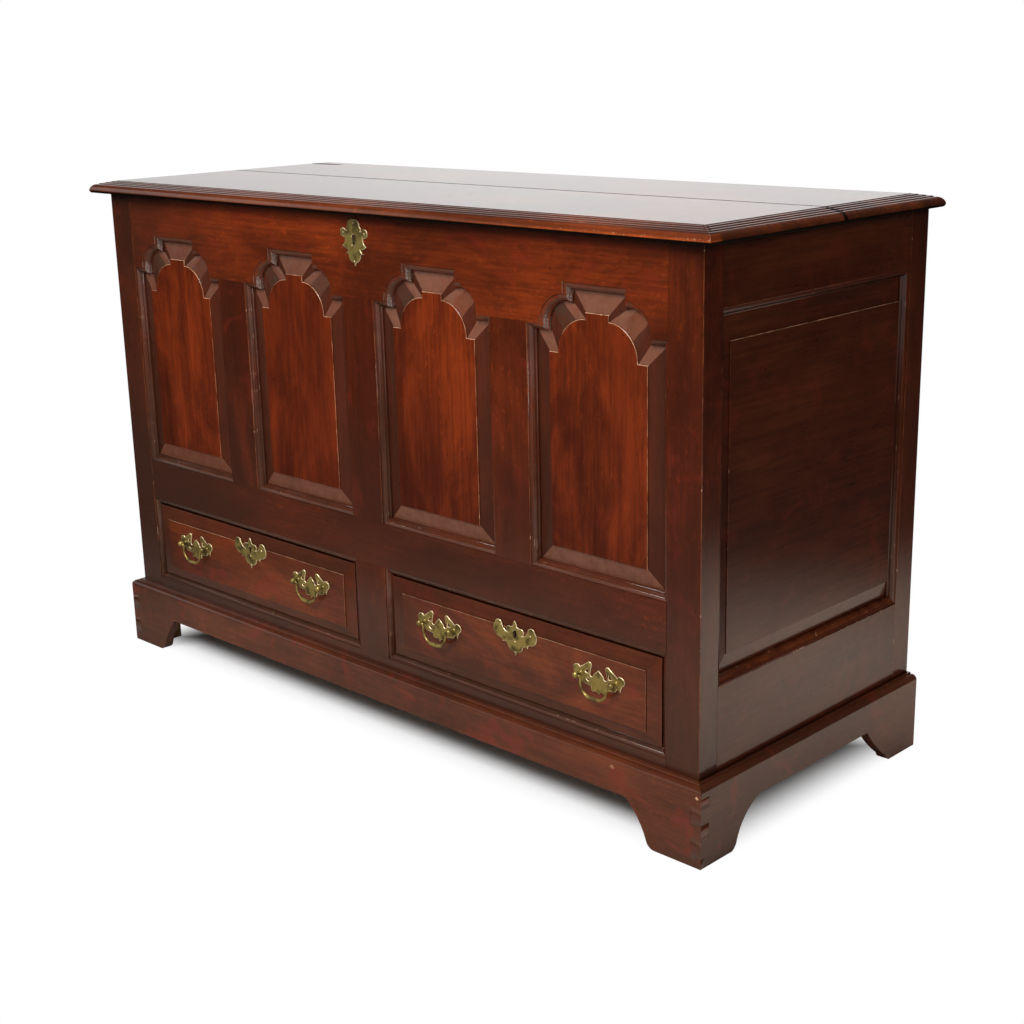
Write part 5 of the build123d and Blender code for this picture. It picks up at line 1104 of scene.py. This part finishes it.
def handle_fittings(drawer, centre):
    """Both handles' plates and posts on one drawer, with the nuts inside."""
    node = drawer + "_handle_fittings"
    shank_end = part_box(node)[1].y / MM
    meshes = []
    for x in (centre - HANDLE_X, centre + HANDLE_X):
        meshes.append(pressed_plate(node, HANDLE_PLATE, handle_piercings(), x, HANDLE_Z, PLATE_BACK))
        for at in (x - POST_X, x + POST_X):
            meshes += [ball_post(at), post_nut(at), post_shank(at, shank_end)]
    assembled(drawer + "_handle_brasses", meshes, node)


def bail(drawer, side, x):
    """A swan-neck bail hung between its two balls."""
    node = f"{drawer}_bail_{side}"
    arm, drop, corner, elbow = BAIL_ARM, BAIL_DROP, BAIL_CORNER, BAIL_ELBOW
    in_corner = (arm - corner + corner * MID_CURVE, -drop + corner * (1 - MID_CURVE))
    in_elbow = (arm + elbow * (1 - MID_CURVE), -elbow * (1 - MID_CURVE))
    half = [(0.0, -drop), (arm - corner, -drop)]
    half += arc_points(half[-1], in_corner, (arm, -drop + corner), 10)
    half += [(arm, -elbow)]
    half += arc_points(half[-1], in_elbow, (arm + elbow, 0.0), 6)
    half += [(BAIL_END, 0.0)]
    points = [(-a, b) for a, b in reversed(half[1:])] + half
    path = bpy.data.curves.new(node, "CURVE")
    path.dimensions = "3D"
    spline = path.splines.new("POLY")
    spline.points.add(len(points) - 1)
    for point, (a, b) in zip(spline.points, points):
        point.co = ((x + a) * MM, BALL_Y * MM, (HANDLE_Z + b) * MM, 1.0)
    sizes = {"Arm radius": ARM_RADIUS * MM, "Grip radius": GRIP_RADIUS * MM, "Grip share": GRIP_SHARE}
    assembled(node + "_bar", [BAIL_GROWTH.grown(path, sizes)], node)


escutcheon("lid_escutcheon", LID_ESCUTCHEON, LID_KEYHOLE, LID_PINS, 0.0, LID_ESCUTCHEON_Z, FRONT_Y)
for drawer, centre in (("left_drawer", -DRAWER_X), ("right_drawer", DRAWER_X)):
    escutcheon(
        drawer + "_escutcheon", DRAWER_ESCUTCHEON, DRAWER_KEYHOLE, DRAWER_PINS, centre, DRAWER_ESCUTCHEON_Z, PLATE_BACK
    )
    handle_fittings(drawer, centre)
    bail(drawer, "left", centre - HANDLE_X)
    bail(drawer, "right", centre + HANDLE_X)

# ---------------- boards and ironwork
TREES, BOXES = {}, {}
for name, node in NODES.items():
    if SLOT_OF[name] not in ("brass", "iron"):
        mesh = node.data
        TREES[name] = BVHTree.FromPolygons([v.co for v in mesh.vertices], [p.vertices for p in mesh.polygons])
        BOXES[name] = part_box(name)

for name in sorted(NODES):
    if SLOT_OF[name] == "iron":
        materials = NODES[name].data.materials
        materials.clear()
        materials.append(IRON)
    elif SLOT_OF[name] != "brass":
        worked(name)

# ---------------- the studio
FLOOR_REACH = 9.0
FOOTPRINT = (0.642, 0.258)
PAPER = (0.88, 0.88, 0.88)
# Floor colours seen only in the polish: far, and a painted pool of warm light near the chest.
FLOOR_FAR, FLOOR_PAINTED_GLOW = (0.02, 0.02, 0.02), (0.98, 0.83, 0.68)
WINDOW_LIGHT = (1.0, 0.86, 0.74)
WHITE = (1.0, 1.0, 1.0)
# Lamps: name, place, what it points at, side in metres, watts.
LAMPS = (
    ("key", (0.45, -2.2, 2.5), (0.0, -0.1, 0.55), 1.2, 88.0),
    ("top", (0.2, 0.3, 3.0), (0.0, 0.0, 0.4), 2.0, 45.0),
)


def floor_finish():
    """Pale paper that runs out to white away from the chest's footprint; where the polish mirrors it,
    a painted pool of warm light near the chest, brightest to the east, that dims with distance."""
    f = Finish("floor_sheet")
    place = f.place()
    east, north, _ = f.parts(place)
    seen, glossy = f.rays("Is Camera Ray", "Is Glossy Ray")
    past_end, past_front = (abs(way) - half for way, half in zip((east, north), FOOTPRINT))
    out_x, out_y = past_end.math("MAXIMUM", 0.0), past_front.math("MAXIMUM", 0.0)
    within = past_end.math("MAXIMUM", past_front).math("MINIMUM", 0.0)
    beyond = (out_x * out_x + out_y * out_y).math("SQRT") + within
    away = f.node("ShaderNodeVectorMath", {"operation": "LENGTH"}, {0: f.stretched(place, (0.75, 1.0, 0.0))}, out=1)
    # A painted pool of light on the floor, seen only in the polish.
    near = (away - east.above(0.55, 0.95) * 0.28).below(0.50, 1.10)
    glow = near * (0.32 + east.above(0.45, 0.95) * 0.62)
    mirrored = f.mixed(glow.clipped(), FLOOR_FAR, FLOOR_PAINTED_GLOW)
    paper = f.node("ShaderNodeBsdfDiffuse", None, {"Color": f.mixed(glossy, PAPER, mirrored)})
    white = f.node("ShaderNodeEmission", None, {"Color": WHITE, "Strength": 1.0})
    fade = (beyond.above(-0.085, 0.012) * seen).clipped()
    return f.ends_in(f.node("ShaderNodeMixShader", None, {0: fade, 1: paper, 2: white}))


def lay_floor():
    """A flat floor of pale paper."""
    mesh = bpy.data.meshes.new("floor")
    r = FLOOR_REACH
    mesh.from_pydata([(-r, -r, 0), (r, -r, 0), (r, r, 0), (-r, r, 0)], [], [(0, 1, 2, 3)])
    floor = placed("floor", mesh)
    mesh.materials.append(floor_finish())


def hang_sky():
    """A white backdrop. The polish mirrors a dark room with light corners, a bright patch ahead,
    a low window and a light at the left; everything else gets a soft light from above."""
    w = Finish("sky", world=True)
    east, north, height = w.parts(w.node("ShaderNodeTexCoord", out="Generated"))
    camera, glossy = w.rays("Is Camera Ray", "Is Glossy Ray")
    corners = (-(east * north)).above(-0.10, 0.22) * height.below(0.20, 0.50)
    corners = corners * (1.0 - (-east).above(0.68, 0.84) * 0.16)
    ahead = (east * -0.15 - north * 0.93 + height * 0.34).above(0.86, 0.97)
    sidelight = (-east).above(0.70, 0.78) * (-north).above(0.10, 0.25)
    sidelight = sidelight * height.above(0.10, 0.20) * height.below(0.46, 0.56)
    window = (east * -0.42 - north * 0.90 + height * 0.10).above(0.80, 0.94) * height.above(-0.02, 0.05)
    overhead = 0.10 + height.above(0.1, 0.9) * 0.55
    mirrored = (0.02 + corners * 0.98 + ahead * 0.45 + window * 0.8 + sidelight * 0.9).clipped()
    strength = camera + (1.0 - camera) * (glossy * mirrored + (1.0 - glossy) * overhead)
    warm = w.mixed((glossy * (ahead + window)).clipped(), WHITE, WINDOW_LIGHT)
    bpy.context.scene.world = w.ends_in(w.node("ShaderNodeBackground", None, {"Color": warm, "Strength": strength}))


def set_lamps():
    """Two soft square lamps."""
    for name, at, towards, size, power in LAMPS:
        lamp = bpy.data.lights.new(name, "AREA")
        lamp.shape, lamp.size, lamp.energy = "SQUARE", size, power
        holder = placed(name, lamp)
        holder.location = at
        holder.rotation_euler = (Vector(towards) - Vector(at)).to_track_quat("-Z", "Y").to_euler()


aim_camera()
lay_floor()
hang_sky()
set_lamps()
bpy.context.scene.view_settings.view_transform = "Standard"
